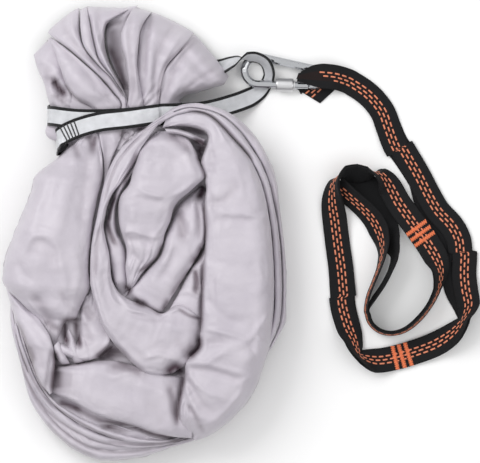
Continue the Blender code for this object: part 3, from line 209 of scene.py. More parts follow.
def around(values, i, closed=False):
    """The four values round a span, with the end ones repeated if need be."""
    count = len(values)
    return [values[j % count] if closed else values[min(max(j, 0), count - 1)]
            for j in (i - 1, i, i + 1, i + 2)]


def smooth_line(points, steps=12):
    """A denser line on a smooth curve through plan points."""
    dense = []
    for i in range(len(points) - 1):
        quad = [Vector(point) for point in around(points, i)]
        dense += [eased(*quad, k / steps) for k in range(steps)]
    return dense + [Vector(points[-1])]


def even_line(points, count):
    """Evenly spaced places on the smooth curve through plan points."""
    dense = smooth_line(points)
    reach = [0.0]
    for a, b in zip(dense, dense[1:]):
        reach.append(reach[-1] + (b - a).length)
    made = []
    at = 0
    for i in range(count):
        goal = reach[-1] * i / (count - 1)
        while at < len(reach) - 2 and reach[at + 1] < goal:
            at += 1
        span = max(reach[at + 1] - reach[at], 1e-9)
        made.append(dense[at].lerp(dense[at + 1], min(1.0, (goal - reach[at]) / span)))
    return made


def value_at(values, share):
    """A reading between evenly spaced values, eased at each."""
    if isinstance(values, (int, float)):
        return values
    place = share * (len(values) - 1)
    i = min(int(place), len(values) - 2)
    t = place - i
    t = t * t * (3 - 2 * t)
    return values[i] * (1 - t) + values[i + 1] * t


# The size of a cell in plan units, the shares of a fold's half width where its
# rim starts to roll under and where its wall starts to crumple, the roll in
# millimetres of a full wall, and the share over which painted shade darkens a crown's colour towards
# its rim.
CELL = 1.64
ROLLED = 0.84
WALL_FROM = 0.7
FULL_WALL = 22
RIM_SHADE = 0.16


def wave_height(place, u, s, widest, length, seed, gathers):
    """How far the cloth waves up at a place, in millimetres: broad and fine
    waves, gathers that run along the fold, and softer ones across it."""
    wave = noise.noise(Vector((place.x / 26, place.y / 26, seed))) * 2.4
    wave += noise.noise(Vector((place.x / 9, place.y / 9, seed + 5))) * 0.7
    mask = 0.5 + 1.4 * noise.noise(Vector((place.x / 34, place.y / 34, seed + 9)))
    along = noise.noise(Vector((u * widest / 15 + wave * 0.3, s * length / 52, seed)))
    wave += (0.35 - abs(along) * 2.0) * 1.7 * gathers * min(1.2, max(0.15, mask))
    across = noise.noise(Vector((u * widest / 34, s * length / 11, seed + 3)))
    wave += (0.3 - abs(across) * 2.0) * 0.9 * gathers * min(1.0, max(0.0, 1.1 - mask))
    return wave


def wall_crumple(run, height, seed):
    """How far the upright wall of a fold stands out, in plan units."""
    wave = noise.noise(Vector((run / 13, height / 9, seed + 20))) * 2.0
    wave += noise.noise(Vector((run / 30, height / 3.5, seed + 30))) * 1.1
    return wave - 0.5


def fold(left, right, crown, rims, rolls=(8, 8), full=2.2, tuck=(5, 5), close=(0, 0), low=16,
         belly=0.0, wander=1.0, gathers=1.0, cell=CELL):
    """One fold between two edge lines. Heights are in millimetres: the crown,
    the two rims, and how far each rim rolls down before it tucks under. The
    ends can close down to a low height, and the last one can belly out."""
    length = max(sum((b - a).length for a, b in zip(line, line[1:]))
                 for line in (smooth_line(left), smooth_line(right)))
    rows = max(6, round(length / cell / 1.25))
    lefts, rights = even_line(left, rows + 1), even_line(right, rows + 1)
    widest = max((b - a).length for a, b in zip(lefts, rights))
    columns = max(10, round(widest / cell / ROLLED))
    grid = bmesh.ops.create_grid(cloth, x_segments=columns, y_segments=rows, size=1.0)
    seed = left[0][0] * 0.37 + left[-1][1] * 0.21
    for vertex in grid["verts"]:
        u = vertex.co.x
        s = (vertex.co.y + 1) / 2
        row = min(rows, round(s * rows))
        a, b = lefts[row], rights[row]
        rim_left, rim_right = value_at(rims[0], s), value_at(rims[1], s)
        if abs(u) <= ROLLED:
            turn = math.pi / 2 * (u / ROLLED + 1)
            c = -math.cos(turn)
            share = 0.5 + 0.5 * math.copysign(abs(c) ** (2 / full), c)
            lift = max(0.0, math.sin(turn)) ** (2 / full)
            place = a.lerp(b, share)
            rim = rim_left * (1 - share) + rim_right * share
            height = rim + (value_at(crown, s) - rim) * lift
            # Painted shade: the colour darkens from the crown towards a rolled rim.
            vertex[crest_and_painted_shade] = min(1.0, max(0.0, (1.02 - abs(u) / ROLLED) / RIM_SHADE))
        else:
            side = 0 if u < 0 else 1
            t = (abs(u) - ROLLED) / (1 - ROLLED)
            inward = min(tuck[side] * (1 - math.cos(t * math.pi / 2)), (b - a).length * 0.45)
            heading = (b - a).normalized() if (b - a).length > 1e-6 else Vector((1, 0))
            place = a + heading * inward if side == 0 else b - heading * inward
            roll = value_at(rolls[side], s)
            height = (rim_left, rim_right)[side] - roll * math.sin(t * math.pi / 2)
            # The rim that rolls under is painted in full shade.
            vertex[crest_and_painted_shade] = 0.0
        if abs(u) > WALL_FROM and (a - b).length > 1e-6:
            outward = (a - b).normalized() * math.copysign(1, -u)
            room = min(1.0, (abs(u) - WALL_FROM) / 0.1)
            room *= min(1.0, value_at(rolls[u > 0], s) / FULL_WALL)
            place = place + outward * wall_crumple(s * length, height, seed) * room
        if belly:
            ahead = (lefts[-1] + rights[-1] - lefts[-4] - rights[-4]).normalized()
            place = place + ahead * belly * (1 - u * u) * s ** 5
        for part, reach in ((s, close[0]), (1 - s, close[1])):
            if reach and part < reach:
                height = low + (height - low) * math.sqrt(1 - (1 - part / reach) ** 2)
        wave = wave_height(place, u, s, widest, length, seed, gathers)
        vertex.co = plan(place.x, place.y, max(0.6, height + wave * wander * vertex[crest_and_painted_shade]) / 1000)
    faces = {face for vertex in grid["verts"] for face in vertex.link_faces}
    for face in faces:
        face.normal_update()
        face.smooth = True
    if sum(face.normal.z * face.calc_area() for face in faces) < 0:
        bmesh.ops.reverse_faces(cloth, faces=list(faces))


# Body of the bundle, from the lowest layers up. This is the mass underneath,
# the wraps round its foot, the left lobe and its strip, and the lower panel.

# the mass underneath
OUTLINE_LEFT = [(88, 120), (66, 148), (50, 166), (38, 176), (33, 193), (21, 221), (11, 250),
                (6, 272), (6, 282), (13, 308), (14, 327), (23, 362), (33, 398), (50, 423),
                (67, 439), (84, 450), (100, 455)]
OUTLINE_RIGHT = [(150, 120), (190, 116), (214, 118), (236, 128), (255, 146), (266, 170),
                 (274, 196), (279, 225), (281, 255), (282, 285), (279, 317), (262, 350),
                 (244, 388), (228, 408), (207, 427), (163, 443), (118, 454)]
fold(OUTLINE_LEFT, OUTLINE_RIGHT, [50, 58, 62, 62, 60, 56, 50],
     ([24, 22, 22, 22], [24, 22, 22, 22]), rolls=(20, 20), full=4.0, tuck=(14, 14),
     close=(0, 0.08), low=18, cell=3.0)

# wraps round the foot, from the outside in, and a short tuck on them
FOOT_OUTER = [(12, 298), (17, 335), (27, 367), (37, 392), (52, 412), (70, 428), (90, 439),
              (110, 445), (132, 447.5), (155, 446.5), (178, 442)]
FOOT_INNER = [(14, 298), (20, 332), (29, 359), (38, 381), (52, 401), (70, 417), (92, 429.5),
              (112, 437), (134, 441.5), (158, 442), (180, 439)]
fold([(10.5, 303), (11, 327), (20, 362), (30, 400), (47, 426), (65, 443), (82, 454), (99, 460),
      (117, 460), (145, 456), (165, 449), (190, 442), (204, 434), (212, 425)],
     FOOT_OUTER + [(197, 434), (207, 423)],
     [34, 42, 46, 48, 46, 30], ([24, 24, 24], [38, 44, 46, 44, 40]), rolls=(22, 8))
fold(FOOT_OUTER + [(200, 434)], FOOT_INNER + [(202, 430)],
     [44, 52, 56, 58, 54, 36], ([36, 44, 48, 48, 44], [42, 50, 54, 54, 50]))
fold(FOOT_INNER + [(200, 430)],
     [(16, 298), (24, 330), (31, 353), (39, 374), (49, 393), (62, 405), (80, 416), (98, 424.5),
      (118, 432), (140, 438), (165, 439.5), (190, 434)],
     [52, 60, 66, 66, 62, 42], ([42, 52, 56, 56, 50], [50, 58, 60, 60, 54]), rolls=(8, 14))
fold([(74, 407), (90, 416), (104, 421), (120, 424), (136, 429), (152, 435), (172, 440)],
     [(78, 412), (94, 420.5), (108, 425), (122, 428.5), (138, 435), (156, 439.5), (176, 441)],
     [50, 56, 58, 56, 50], (44, 46), full=2.1, close=(0.2, 0))

# left lobe, and the strip that turns over its lower edge
fold([(84, 118), (80, 136), (66, 151), (60, 157), (36, 175), (31, 193), (19, 221), (8, 250),
      (3, 272), (5, 285), (22, 303), (38, 318), (48, 333), (53, 345)],
     [(100, 118), (99, 132), (101, 145), (104, 160), (104, 176), (101, 190), (98, 202), (94, 222),
      (92, 240), (90, 266), (91, 287), (85, 299), (80, 310), (76, 319), (67, 321), (62, 331),
      (57, 344)],
     [54, 62, 80, 93, 99, 102, 102, 97, 88, 76, 62],
     ([50, 44, 32, 28, 28, 30, 48, 60, 54], [52, 62, 70, 74, 70, 66, 54]),
     rolls=([6, 10, 24, 24, 24, 24, 12, 8], 10), full=2.9)
fold([(3, 277), (10.5, 303), (17, 323), (24, 338), (29, 352), (34, 366), (40, 381), (50, 394)],
     [(6, 284), (24, 303), (40, 318.5), (50, 333), (54.5, 347), (56, 362), (55, 376), (53, 392)],
     [50, 64, 76, 84, 82, 72], ([26, 38, 50, 60, 62, 58], [44, 58, 70, 76, 72, 62]),
     rolls=([22, 10, 6, 6], 10))

# lower panel, and the small folds that bunch up above it
fold([(53, 365), (75, 363.5), (96, 360), (117, 360), (140, 366), (160, 372), (190, 378)],
     [(51, 393), (75, 402), (95, 413), (110, 418.5), (130, 424), (150, 431), (170, 436), (192, 438)],
     [62, 80, 84, 84, 82, 78, 60], ([50, 66, 66, 66, 58], [52, 62, 62, 60, 46]), rolls=(14, 12),
     full=2.8)
fold([(53.5, 347), (55, 353), (58, 359), (63, 364)], [(60, 339.5), (63, 345), (66, 353), (71, 363)],
     [76, 78, 76, 70], (66, 66), rolls=(10, 10), full=2.0, gathers=0.3)
fold([(64, 342), (68, 347), (71, 354), (75, 363)], [(69, 328), (75, 338), (80, 350), (86, 361)],
     [64, 76, 78, 72], (62, 64), rolls=(10, 10), full=2.0, gathers=0.3)
fold([(83, 298), (81, 310), (81, 324), (81, 338), (82, 349), (88, 360)],
     [(94, 292), (99, 312), (105, 327), (111, 338), (109, 346), (99, 357)],
     [70, 72, 74, 76, 76, 74], ([58, 60, 60, 60], [66, 70, 72, 68]), rolls=(10, 10), full=2.3)


# Right side: two outer wraps that cross over the sling and run down the edge,
# and the broad panel inside them that turns in at the foot.

# outer wraps
WRAP_LINE = [(158, 124.5), (170, 115), (186, 109), (200, 109.5), (214, 113), (226, 119),
             (236, 128), (244, 137), (253, 150), (262, 165), (269, 183), (274, 204), (278, 226),
             (281, 255), (282, 290), (280.5, 317), (275, 334), (267, 350)]
PANEL_LINE = [(160, 125.5), (166, 121), (180, 115), (196, 112.5), (207, 115), (216, 121),
              (224, 129), (234, 140), (244, 151), (253, 164), (261, 182), (267, 205), (271, 230),
              (273.5, 260), (274.5, 290), (273.5, 315), (269, 332), (262, 347)]
fold([(146, 128), (162, 116.5), (176, 107.5), (190, 104), (204, 104.5), (229, 113), (252, 132),
      (267, 155), (276, 179), (280, 208), (284, 240), (286.7, 272), (286.5, 300), (285.5, 322),
      (277, 339), (268, 353)],
     WRAP_LINE, [80, 84, 84, 74, 62, 54, 54, 54, 50],
     ([74, 76, 72, 46, 28, 24, 24, 24, 24], [76, 78, 74, 64, 54, 50, 50, 50, 46]),
     rolls=([4, 5, 8, 22, 24, 22, 7], 8), close=(0, 0.04))
fold(WRAP_LINE, PANEL_LINE, [82, 88, 88, 80, 72, 68, 66, 66, 62],
     ([76, 80, 76, 66, 58, 54, 54, 54, 50], [78, 82, 80, 72, 64, 62, 60, 60, 58]))
# broad panel, and the hem of its top
fold([(163, 128.5), (178, 126.5), (192, 128), (204, 131.5), (208.5, 137), (207, 145),
      (204, 154), (201, 163), (205, 175), (206, 188), (205, 201), (205, 220), (206, 240),
      (205, 252), (203, 270), (202.5, 295), (202, 318), (200, 333), (200, 346), (187, 360),
      (185, 373), (184, 385), (180, 398), (178, 412), (180, 426), (192, 437)],
     PANEL_LINE[1:15] + [(273.5, 318), (271, 341), (265.5, 361), (254, 391), (236, 415),
                         (212, 434), (196, 440.5)],
     [80, 90, 98, 102, 103, 103, 102, 100, 96, 90, 80, 50],
     ([74, 80, 82, 82, 82, 82, 82, 78, 70, 34], [80, 76, 66, 62, 60, 50, 30, 26, 26, 26]),
     rolls=(16, [8, 8, 8, 8, 8, 10, 22, 22, 22]), full=3.2)
fold([(165, 129), (180, 130), (193, 134.5), (205, 140)],
     [(168, 134), (181, 135.5), (193, 140), (203, 146)],
     [86, 88, 88, 84], (78, 78), full=2.0, gathers=0.3)


# Middle of the bundle: the rolled strip that widens into the pouch, the
# narrow folds beside it, and the lobes that are gathered into the centre.

# lower lobes, from the deepest
fold([(205, 246), (196, 262), (188, 274), (180, 290), (170, 308)],
     [(209, 250), (209, 270), (208, 290), (207, 305), (206, 325)],
     [78, 84, 84, 80, 76], (70, 70))
fold([(202, 186), (180, 204), (172, 222), (166, 236), (160, 255), (146, 272), (128, 292), (118, 304)],
     [(208, 196), (208, 215), (206, 240), (197, 258), (186, 275), (174, 294), (163, 312), (152, 324)],
     [70, 82, 90, 92, 90, 88, 82, 58],
     ([60, 66, 68, 70, 72, 70, 52], [76, 80, 80, 78, 76, 72, 52]))
# narrow inner fold, and the upper lobe over it
fold([(141, 150), (133, 166), (121, 183), (113, 199), (108, 215), (105, 230), (109, 252),
      (112, 276), (116, 300)],
     [(147, 150), (136, 170), (126, 186), (119, 200), (117, 215), (119, 232), (126, 250),
      (128, 272), (131, 298)],
     [74, 80, 82, 84, 84, 82, 80, 60], ([68, 68, 68, 50], [68, 68, 68, 50]), full=2.1)
fold([(158, 132), (148, 140), (141, 150), (135, 166), (130, 183), (121, 197), (119, 215),
      (121, 230), (127, 247), (126, 268), (127, 284), (122, 296)],
     [(176, 131), (190, 141), (196, 152), (202, 165), (206, 176), (194, 189), (176, 204),
      (171, 221), (165, 236), (158, 256), (142, 274), (130, 296)],
     [74, 88, 98, 103, 104, 102, 98, 94, 90, 84, 62],
     ([70, 78, 80, 80, 78, 72, 54], [70, 80, 84, 82, 78, 74, 54]),
     rolls=(10, 14), full=2.7)
# rolled strip with the pouch, and the node at its foot
fold([(170, 112), (158, 121), (144, 130), (134, 138), (122, 149), (112, 164), (105, 183), (98, 215),
      (92, 247), (91, 279), (93, 292), (100, 318), (110, 337), (122, 352), (140, 369),
      (150, 374), (166, 374), (182, 368), (204, 352)],
     [(181, 113.5), (169, 119), (160, 124.5), (153, 133), (142, 149), (137, 160), (131, 170),
      (122, 183), (114, 193), (109, 204), (106.5, 215), (105, 229), (110, 253), (113, 279),
      (122, 294), (137, 302), (150, 307), (163, 313), (178, 304), (191, 309), (203, 318),
      (213, 324)],
     [84, 88, 90, 92, 94, 96, 96, 95, 94, 92, 88, 72],
     ([76, 78, 80, 80, 80, 78, 74, 70, 68, 62], [78, 80, 82, 82, 82, 80, 76, 74, 76, 66]),
     rolls=(12, 8), full=2.7)
fold([(91, 288), (84, 302), (81, 318), (80, 334), (74, 347), (62, 343), (54, 346)],
     [(95, 292), (100, 312), (108, 330), (114, 346), (98, 357), (84, 361), (57, 352)],
     [70, 72, 72, 72, 76, 76, 74], (62, 62), full=2.1)


# Neck and tuft. The cloth is squeezed round by the sling, and fans out above
# it in broad pleats that end in the folded-over head.

# neck, and the low cloth between the pleats
fold([(51, 90), (51, 110), (52, 124), (62, 134), (70, 150)],
     [(180, 90), (180, 105), (180, 120), (178, 134), (170, 150)],
     [44, 48, 52, 58, 60], (32, 32), rolls=(28, 28), full=2.6, tuck=(40, 40), wander=0.3, cell=2.4)
fold([(96, 20), (108, 13), (122, 11), (140, 14)], [(98, 30), (110, 24), (124, 21), (142, 24)],
     [36, 40, 40, 36], (30, 30), rolls=(28, 28), full=2.5, wander=0.5, gathers=0.3)
# small folds that come out below the sling
fold([(47, 125), (45, 133), (50, 139), (62, 143)], [(84, 125), (82, 134), (78, 139), (68, 142)],
     [44, 44, 42, 36], (26, 34), rolls=(18, 8), close=(0, 0.4), wander=0.3)
fold([(98, 128), (101, 145), (104, 165), (103, 190)], [(124, 126), (120, 142), (112, 162), (106, 190)],
     [60, 64, 68, 70], (58, 62), full=2.6, wander=0.5)
fold([(116, 126), (118, 134), (120, 142), (118, 150)], [(150, 122), (140, 130), (132, 138), (124, 148)],
     [56, 58, 60, 60], (52, 56), full=2.1, wander=0.5)

# pleats of the tuft, from the left, then from the right, the middle ones last
EDGE_ONE = [(118, 118), (121, 104), (112, 92), (98, 76), (86, 65), (73, 54), (60, 44), (51, 37)]
EDGE_TWO = [(127, 118), (127, 103), (113, 80), (102, 69), (92, 58), (84, 46), (81, 33), (80, 9)]
EDGE_THREE = [(128, 118), (128, 103), (114, 80), (106, 70), (99, 60), (95, 48), (92, 33), (87, 6)]
fold([(56, 116), (50, 106), (47, 97), (44, 85), (38, 70), (33, 55)],
     [(80, 116), (76, 100), (70, 86), (64, 68), (58, 52), (49, 38)],
     [46, 48, 50, 50, 44, 34], (24, 40), rolls=(18, 8), close=(0, 0.12), low=18)
fold(EDGE_ONE[:-1] + [(48, 34)], EDGE_TWO, [56, 58, 62, 66, 66, 60, 48],
     (44, [54, 56, 56, 54, 44, 32]), rolls=(8, 6), full=2.3, close=(0, 0.14), low=14, belly=4)
fold(EDGE_TWO, EDGE_THREE, [58, 62, 68, 70, 70, 60, 46],
     ([54, 54, 58, 60, 54, 38], [54, 54, 58, 60, 54, 38]), rolls=(6, 6), full=2.0,
     close=(0, 0.10), low=14)
fold([(127, 110), (125, 96), (119, 80), (110, 60), (106, 40), (108, 20), (112, 9)],
     [(130, 110), (130, 90), (128, 65), (126, 45), (128, 28), (134, 12), (138, 5)],
     [48, 42, 38, 38, 42, 42], (34, 34), rolls=(6, 6), full=2.5, close=(0, 0.10), low=12)
fold(EDGE_THREE, [(129, 118), (129, 104), (122, 86), (114, 72), (108, 58), (105, 42), (107, 25),
                  (122, 14), (133, 8)],
     [56, 58, 64, 66, 64, 58, 46], ([52, 54, 56, 50, 38], [44, 46, 48, 50, 38]),
     rolls=(6, 14), close=(0, 0.08), low=14)
fold([(158, 118), (158, 104), (158, 92), (161, 78), (165, 66), (178, 52), (193, 35)],
     [(179, 116), (179, 106), (183, 97), (200, 92), (217, 87), (224, 84), (228, 78)],
     [52, 56, 60, 62, 60, 50, 34], ([46, 50, 54, 52, 44], [34, 30, 24, 20, 18, 18]),
     rolls=(6, [10, 18, 16]), close=(0, 0.14), low=14, belly=3)
fold([(140, 118), (140, 98), (136, 69), (138, 48), (141, 28), (151, 13)],
     [(160, 118), (160, 98), (163, 80), (167, 67), (180, 52), (193, 34)],
     [54, 60, 66, 66, 56, 40], ([46, 50, 50, 48, 40], [50, 54, 58, 54, 40]), rolls=(6, 8),
     full=2.3, close=(0, 0.14), low=14, belly=3)
fold([(126, 118), (129, 92), (126, 65), (121, 45), (122, 31), (134, 6)],
     [(146, 118), (143, 97), (138, 69), (139, 48), (142, 28), (152, 12)],
     [58, 66, 76, 78, 72, 54], ([52, 58, 64, 62, 46], [50, 56, 62, 60, 46]), rolls=(14, 12),
     close=(0, 0.10), low=14)
fold([(100, 118), (92, 108), (78, 100), (67, 86), (60, 68), (54, 50), (49, 38)], EDGE_ONE,
     [58, 62, 69, 70, 64, 54, 44], ([50, 50, 48, 46, 44, 40], [54, 56, 60, 60, 56, 46]),
     rolls=(14, 8), close=(0, 0.10), low=20)


# Creases and dents. Each row is a line on the plan, a half width in plan
# units, a height in millimetres, a drop from its left side to its right, and
# how much painted shade darkens the cloth's colour where it sinks in.

CREASES = [
    # left lobe
    ([(100, 134), (103, 150), (104, 172)], 2.0, 2.5, 0, 0),
    ([(88, 134), (92, 142), (94, 152)], 3.0, -5, 0, 0.5),
    ([(80, 146), (74, 180), (66, 214), (60, 240)], 7, 2.2, -1.5, 0),
    ([(92, 150), (88, 190), (84, 226)], 5, -2.4, 1.5, 0.1),
    ([(66, 156), (56, 190), (46, 220)], 7, -2.2, 1.6, 0),
    ([(48, 172), (40, 205), (30, 235)], 6, 1.8, 0, 0),
    ([(26, 252), (29, 243), (36, 236), (45, 234), (54, 239), (60, 250), (62, 266)], 3.4, 2.6, 0, 0),
    ([(32, 258), (37, 246), (46, 243), (54, 254), (56, 270)], 5.5, -3.4, 0, 0.06),
    ([(20, 262), (24, 272), (34, 284)], 4, -2.0, 0, 0),
    ([(60, 262), (66, 280), (64, 300)], 5, 2.4, 0, 0),
    ([(48, 262), (50, 282), (46, 300)], 6, -2.6, 0, 0),
    ([(76, 250), (80, 272), (76, 292)], 5, 2.0, 0, 0),
    ([(36, 296), (46, 310), (52, 326)], 4.5, -3.4, 0, 0.25),
    ([(56, 300), (62, 312), (70, 316)], 4, 2.0, 0, 0),
    ([(62, 292), (70, 306), (78, 312)], 2.4, -2.0, 0, 0.1),
    ([(46, 322), (56, 328), (62, 330)], 3.2, -3.0, 0, 0.3),
    ([(6, 286), (14, 300), (30, 316), (46, 334), (53, 346)], 2.2, 2.8, 1.0, 0),
    # left strip and node
    ([(18, 322), (24, 334), (29, 350), (34, 366), (41, 384), (50, 396)], 1.8, -2.5, 0, 0.6),
    ([(30, 346), (34, 356), (33, 362)], 2.6, -4.0, 0, 0.6),
    ([(52, 350), (49, 368), (46, 388)], 1.8, -1.5, -2.0, 0.15),
    ([(30, 340), (40, 352), (44, 372)], 3.5, -2.5, 0, 0.1),
    ([(54, 347), (44, 346), (34, 342)], 2.0, 1.8, 0, 0),
    ([(55, 352), (56, 364), (54, 380), (53, 390)], 1.8, -4.0, 0, 0.8),
    ([(56, 352), (59, 360)], 2.0, -4.5, 0, 0.8),
    # pocket beside the node
    ([(66, 322), (65, 332), (68, 343)], 2.6, -9, 0, 1.0),
    ([(76, 321), (78, 333), (81, 346)], 2.6, -8, 0, 0.9),
    ([(66, 320), (80, 319)], 2.2, -5, 0, 0.9),
    ([(84, 306), (90, 314), (95, 318)], 5, -5, 0, 0.3),
    ([(86, 322), (88, 336), (92, 346)], 5, -4, 0, 0.15),
    ([(84, 358), (97, 354), (107, 345), (110, 336)], 2.4, 3.4, 0, 0),
    ([(98, 358), (108, 350), (114, 347)], 4.0, -7, 0, 0.75),
    ([(104, 356), (118, 352), (126, 362)], 5, -7, 0, 0.7),
    ([(112, 366), (128, 366), (144, 373)], 4.5, -4, 0, 0.45),
    ([(57, 365), (76, 363.5), (96, 360)], 1.6, -3, 0, 0.7),
    # lower panel
    ([(58, 370), (58, 388)], 5.5, -6, 0, 0.6),
    ([(70, 372), (70, 388)], 6, -2.0, 0, 0.15),
    ([(112, 378), (124, 373), (142, 371), (164, 374), (184, 377)], 2.6, 2.6, 0, 0),
    ([(56, 393), (74, 399), (92, 410), (112, 416)], 2.6, 2.0, 0, 0),
    ([(90, 384), (116, 388), (140, 394)], 8, -2.4, 0, 0),
    ([(138, 384), (156, 388), (168, 396)], 5, 2.2, 0, 0),
    ([(148, 400), (158, 412), (164, 426)], 6, -2.4, 0, 0.08),
    ([(170, 386), (174, 400), (175, 416)], 3.5, -4, 0, 0.4),
    ([(184, 376), (181, 392), (178, 408), (177, 422)], 2.2, -5, 0, 0.85),
    ([(60, 402), (70, 405), (80, 409)], 2.4, -7, 0, 0.9),
    ([(76, 408), (90, 415), (102, 420)], 2.0, -4, 0, 0.5),
    ([(104, 426), (114, 427), (120, 430)], 2.2, -7, 0, 0.95),
    ([(100, 420), (120, 422.5), (136, 427), (152, 433), (174, 438)], 1.8, -5, 0, 0.8),
    # foot wraps
    ([(20, 348), (30, 372), (42, 393), (58, 408),
      (78, 420), (100, 432), (124, 439)], 1.3, -2.2, 0, 0.45),
    ([(15, 345), (24, 372), (36, 396), (54, 417),
      (76, 431), (98, 441), (124, 446)], 1.2, -1.8, 0, 0.35),
    ([(22, 368), (34, 394), (50, 418), (70, 436),
      (92, 447), (120, 452), (150, 449)], 1.4, -2.2, 1.2, 0.35),
    ([(48, 424), (64, 440), (80, 450), (96, 456)], 1.6, -2.0, 1.4, 0.3),
    ([(40, 396), (60, 416), (84, 430), (108, 439)], 1.0, 1.6, 0, 0),
    ([(110, 441), (136, 444), (162, 443), (186, 438)], 1.4, -2.4, 0, 0.4),
    # right panel
    ([(186, 364), (198, 361), (216, 365), (246, 373)], 2.6, 2.4, 0, 0),
    ([(188, 368), (212, 370), (240, 380)], 3.4, -3.0, 0, 0.08),
    ([(188, 372), (202, 388), (224, 398)], 3.2, 3.0, 0, 0),
    ([(187, 378), (198, 398), (210, 412)], 3.6, -3.2, 0, 0.1),
    ([(186, 384), (192, 402), (204, 424)], 3.0, 2.6, 0, 0),
    ([(188, 404), (195, 414), (203, 430)], 2.2, -3.4, 0, 0.35),
    ([(182, 398), (182, 414), (186, 430)], 2.6, 2.6, 0, 0),
    ([(248, 340), (226, 332), (204, 328)], 2.6, 3.2, 0, 0),
    ([(248, 340), (258, 328), (270, 312)], 2.6, 3.0, 0, 0),
    ([(248, 340), (226, 350), (204, 364)], 3.0, 2.8, 0, 0),
    ([(224, 340), (206, 344)], 5, -3.4, 0, 0.08),
    ([(240, 324), (222, 316), (206, 296)], 5, -2.6, 0, 0),
    ([(250, 344), (256, 356), (254, 370)], 3, -2.6, 0, 0),
    ([(256, 336), (264, 342), (270, 346)], 2.6, 2.0, 0, 0),
    ([(234, 386), (244, 380), (256, 376)], 3, 2.0, 0, 0),
    ([(206, 424), (226, 410), (244, 392)], 5, 2.0, 0, 0),
    ([(208, 203), (221, 202), (230, 195), (235, 184)], 4.5, -3.6, 0, 0.14),
    ([(221, 213), (238, 214), (254, 216), (270, 218)], 3.0, 2.2, 0, 0),
    ([(212, 221), (232, 220), (250, 221)], 4.5, -2.2, 0, 0.06),
    ([(228, 226), (228, 240)], 4, -1.6, 0, 0.04),
    ([(212, 150), (211, 176)], 4, -2.0, 0, 0.06),
    ([(224, 148), (238, 172), (246, 204)], 7, 1.8, 0, 0),
    ([(214, 232), (212, 270), (212, 300)], 6, -1.6, 0, 0),
    ([(256, 226), (260, 262), (260, 300)], 7, 1.8, 0, 0),
    ([(236, 240), (238, 270), (236, 300)], 8, -1.4, 0, 0),
    ([(203, 262), (202, 300), (201, 330)], 2.0, -4, 0, 0.7),
    ([(199, 336), (199, 346), (190, 356)], 2.8, -7, 0, 0.95),
    ([(194, 344), (188, 354)], 4, -4, 0, 0.4),
    ([(168, 372), (176, 366), (182, 372)], 4.4, -9, 0, 1.0),
    # outer wraps
    ([(166, 116), (186, 108), (206, 109), (226, 116),
      (244, 132), (258, 152), (268, 176), (275, 206)], 1.2, 1.2, 0, 0),
    ([(188, 106), (210, 108), (232, 118), (250, 136),
      (264, 160), (273, 186), (279, 220)], 1.5, -1.2, 0.6, 0.12),
    ([(190, 112), (208, 115), (222, 126), (240, 146), (252, 160)], 1.8, -2.6, 0, 0.6),
    ([(277, 230), (280, 262), (280, 300), (276, 326)], 1.6, -1.2, 0, 0.12),
    ([(283, 250), (284, 280), (283, 316)], 1.6, -1.0, 0, 0.1),
    ([(244, 150), (256, 168), (264, 194), (269, 222), (272, 260), (272, 310)], 1.6, 2.0, 0, 0),
    # centre: top pocket, gaps and the upper lobe
    ([(180, 128.5), (193, 130), (205, 134)], 2.6, -6, 0, 0.6),
    ([(194, 141), (203, 144), (200, 152)], 3.2, -9, 0, 0.95),
    ([(200, 150), (200, 162)], 2.4, -8, 0, 0.95),
    ([(201, 164), (203, 170), (206, 178)], 1.8, -3, 0, 0.6),
    ([(203, 185), (202, 193), (199, 198)], 3.2, -9, 0, 1.0),
    ([(170, 136), (182, 142), (190, 150)], 4.5, -4.5, 0, 0.35),
    ([(150, 146), (146, 162), (142, 178)], 5, 2.2, 0, 0),
    ([(143, 162), (154, 163), (162, 158)], 2.4, 1.8, 0, 0),
    ([(176, 150), (172, 168), (168, 182)], 6, -2.2, 0, 0.04),
    ([(186, 150), (190, 164), (196, 176)], 4, 2.2, 0, 0),
    ([(138, 188), (150, 194), (164, 198)], 2.4, 2.4, 0, 0),
    ([(136, 196), (150, 201), (162, 204)], 3.2, -2.0, 0, 0.03),
    ([(174, 196), (186, 190), (196, 180)], 3.0, 2.4, 0, 0),
    ([(122, 233), (134, 231), (150, 236), (163, 237)], 2.0, 2.8, 0, 0),
    ([(124, 240), (140, 240), (154, 245)], 3.6, -2.8, 0, 0.08),
    ([(134, 208), (132, 222)], 5, 1.8, 0, 0),
    ([(133, 252), (140, 262), (146, 266)], 3, -2.4, 0, 0.06),
    ([(128, 262), (134, 276), (134, 288)], 3, 2.2, 0, 0),
    ([(140, 271), (148, 266), (158, 257), (162, 246)], 1.8, -4, 0, 0.75),
    ([(116, 196), (111, 210), (109, 222)], 2.4, -5, 0, 0.9),
    ([(118, 204), (117.5, 220), (119, 236)], 1.6, -4, 0, 0.8),
    ([(107, 222), (111, 234), (116, 244)], 2.8, -6, 0, 0.75),
    ([(124, 184), (132, 168), (138, 154)], 2.2, -3, 0, 0.6),
    # centre: lower lobes and node
    ([(178, 210), (182, 224), (183, 238)], 5.0, -5.5, 0, 0.4),
    ([(192, 200), (194, 216), (192, 236)], 3.0, 3.2, 0, 0),
    ([(198, 204), (200, 220), (200, 238)], 2.0, -2.6, 0, 0.2),
    ([(204, 206), (206, 226), (205, 244)], 1.6, -3, 0, 0.7),
    ([(203, 247), (200, 256), (194, 262)], 3.0, -7, 0, 0.85),
    ([(170, 236), (170, 252), (160, 266)], 4.0, 2.6, 0, 0),
    ([(190, 250), (180, 268), (168, 286)], 5, 2.6, 0, 0),
    ([(176, 246), (170, 266), (158, 280)], 3.4, -3.0, 0, 0.08),
    ([(195, 270), (197, 280), (196, 292)], 2.8, -6, 0, 0.8),
    ([(190, 270), (182, 280), (172, 294)], 2.0, -3.4, 0, 0.5),
    ([(192, 266), (199, 278), (203, 296)], 1.8, 3.0, 0, 0),
    ([(176, 292), (190, 292), (202, 298)], 2.4, 2.4, 0, 0),
    ([(180, 309), (190, 315), (202, 319)], 1.5, -3.2, 0, 0.6),
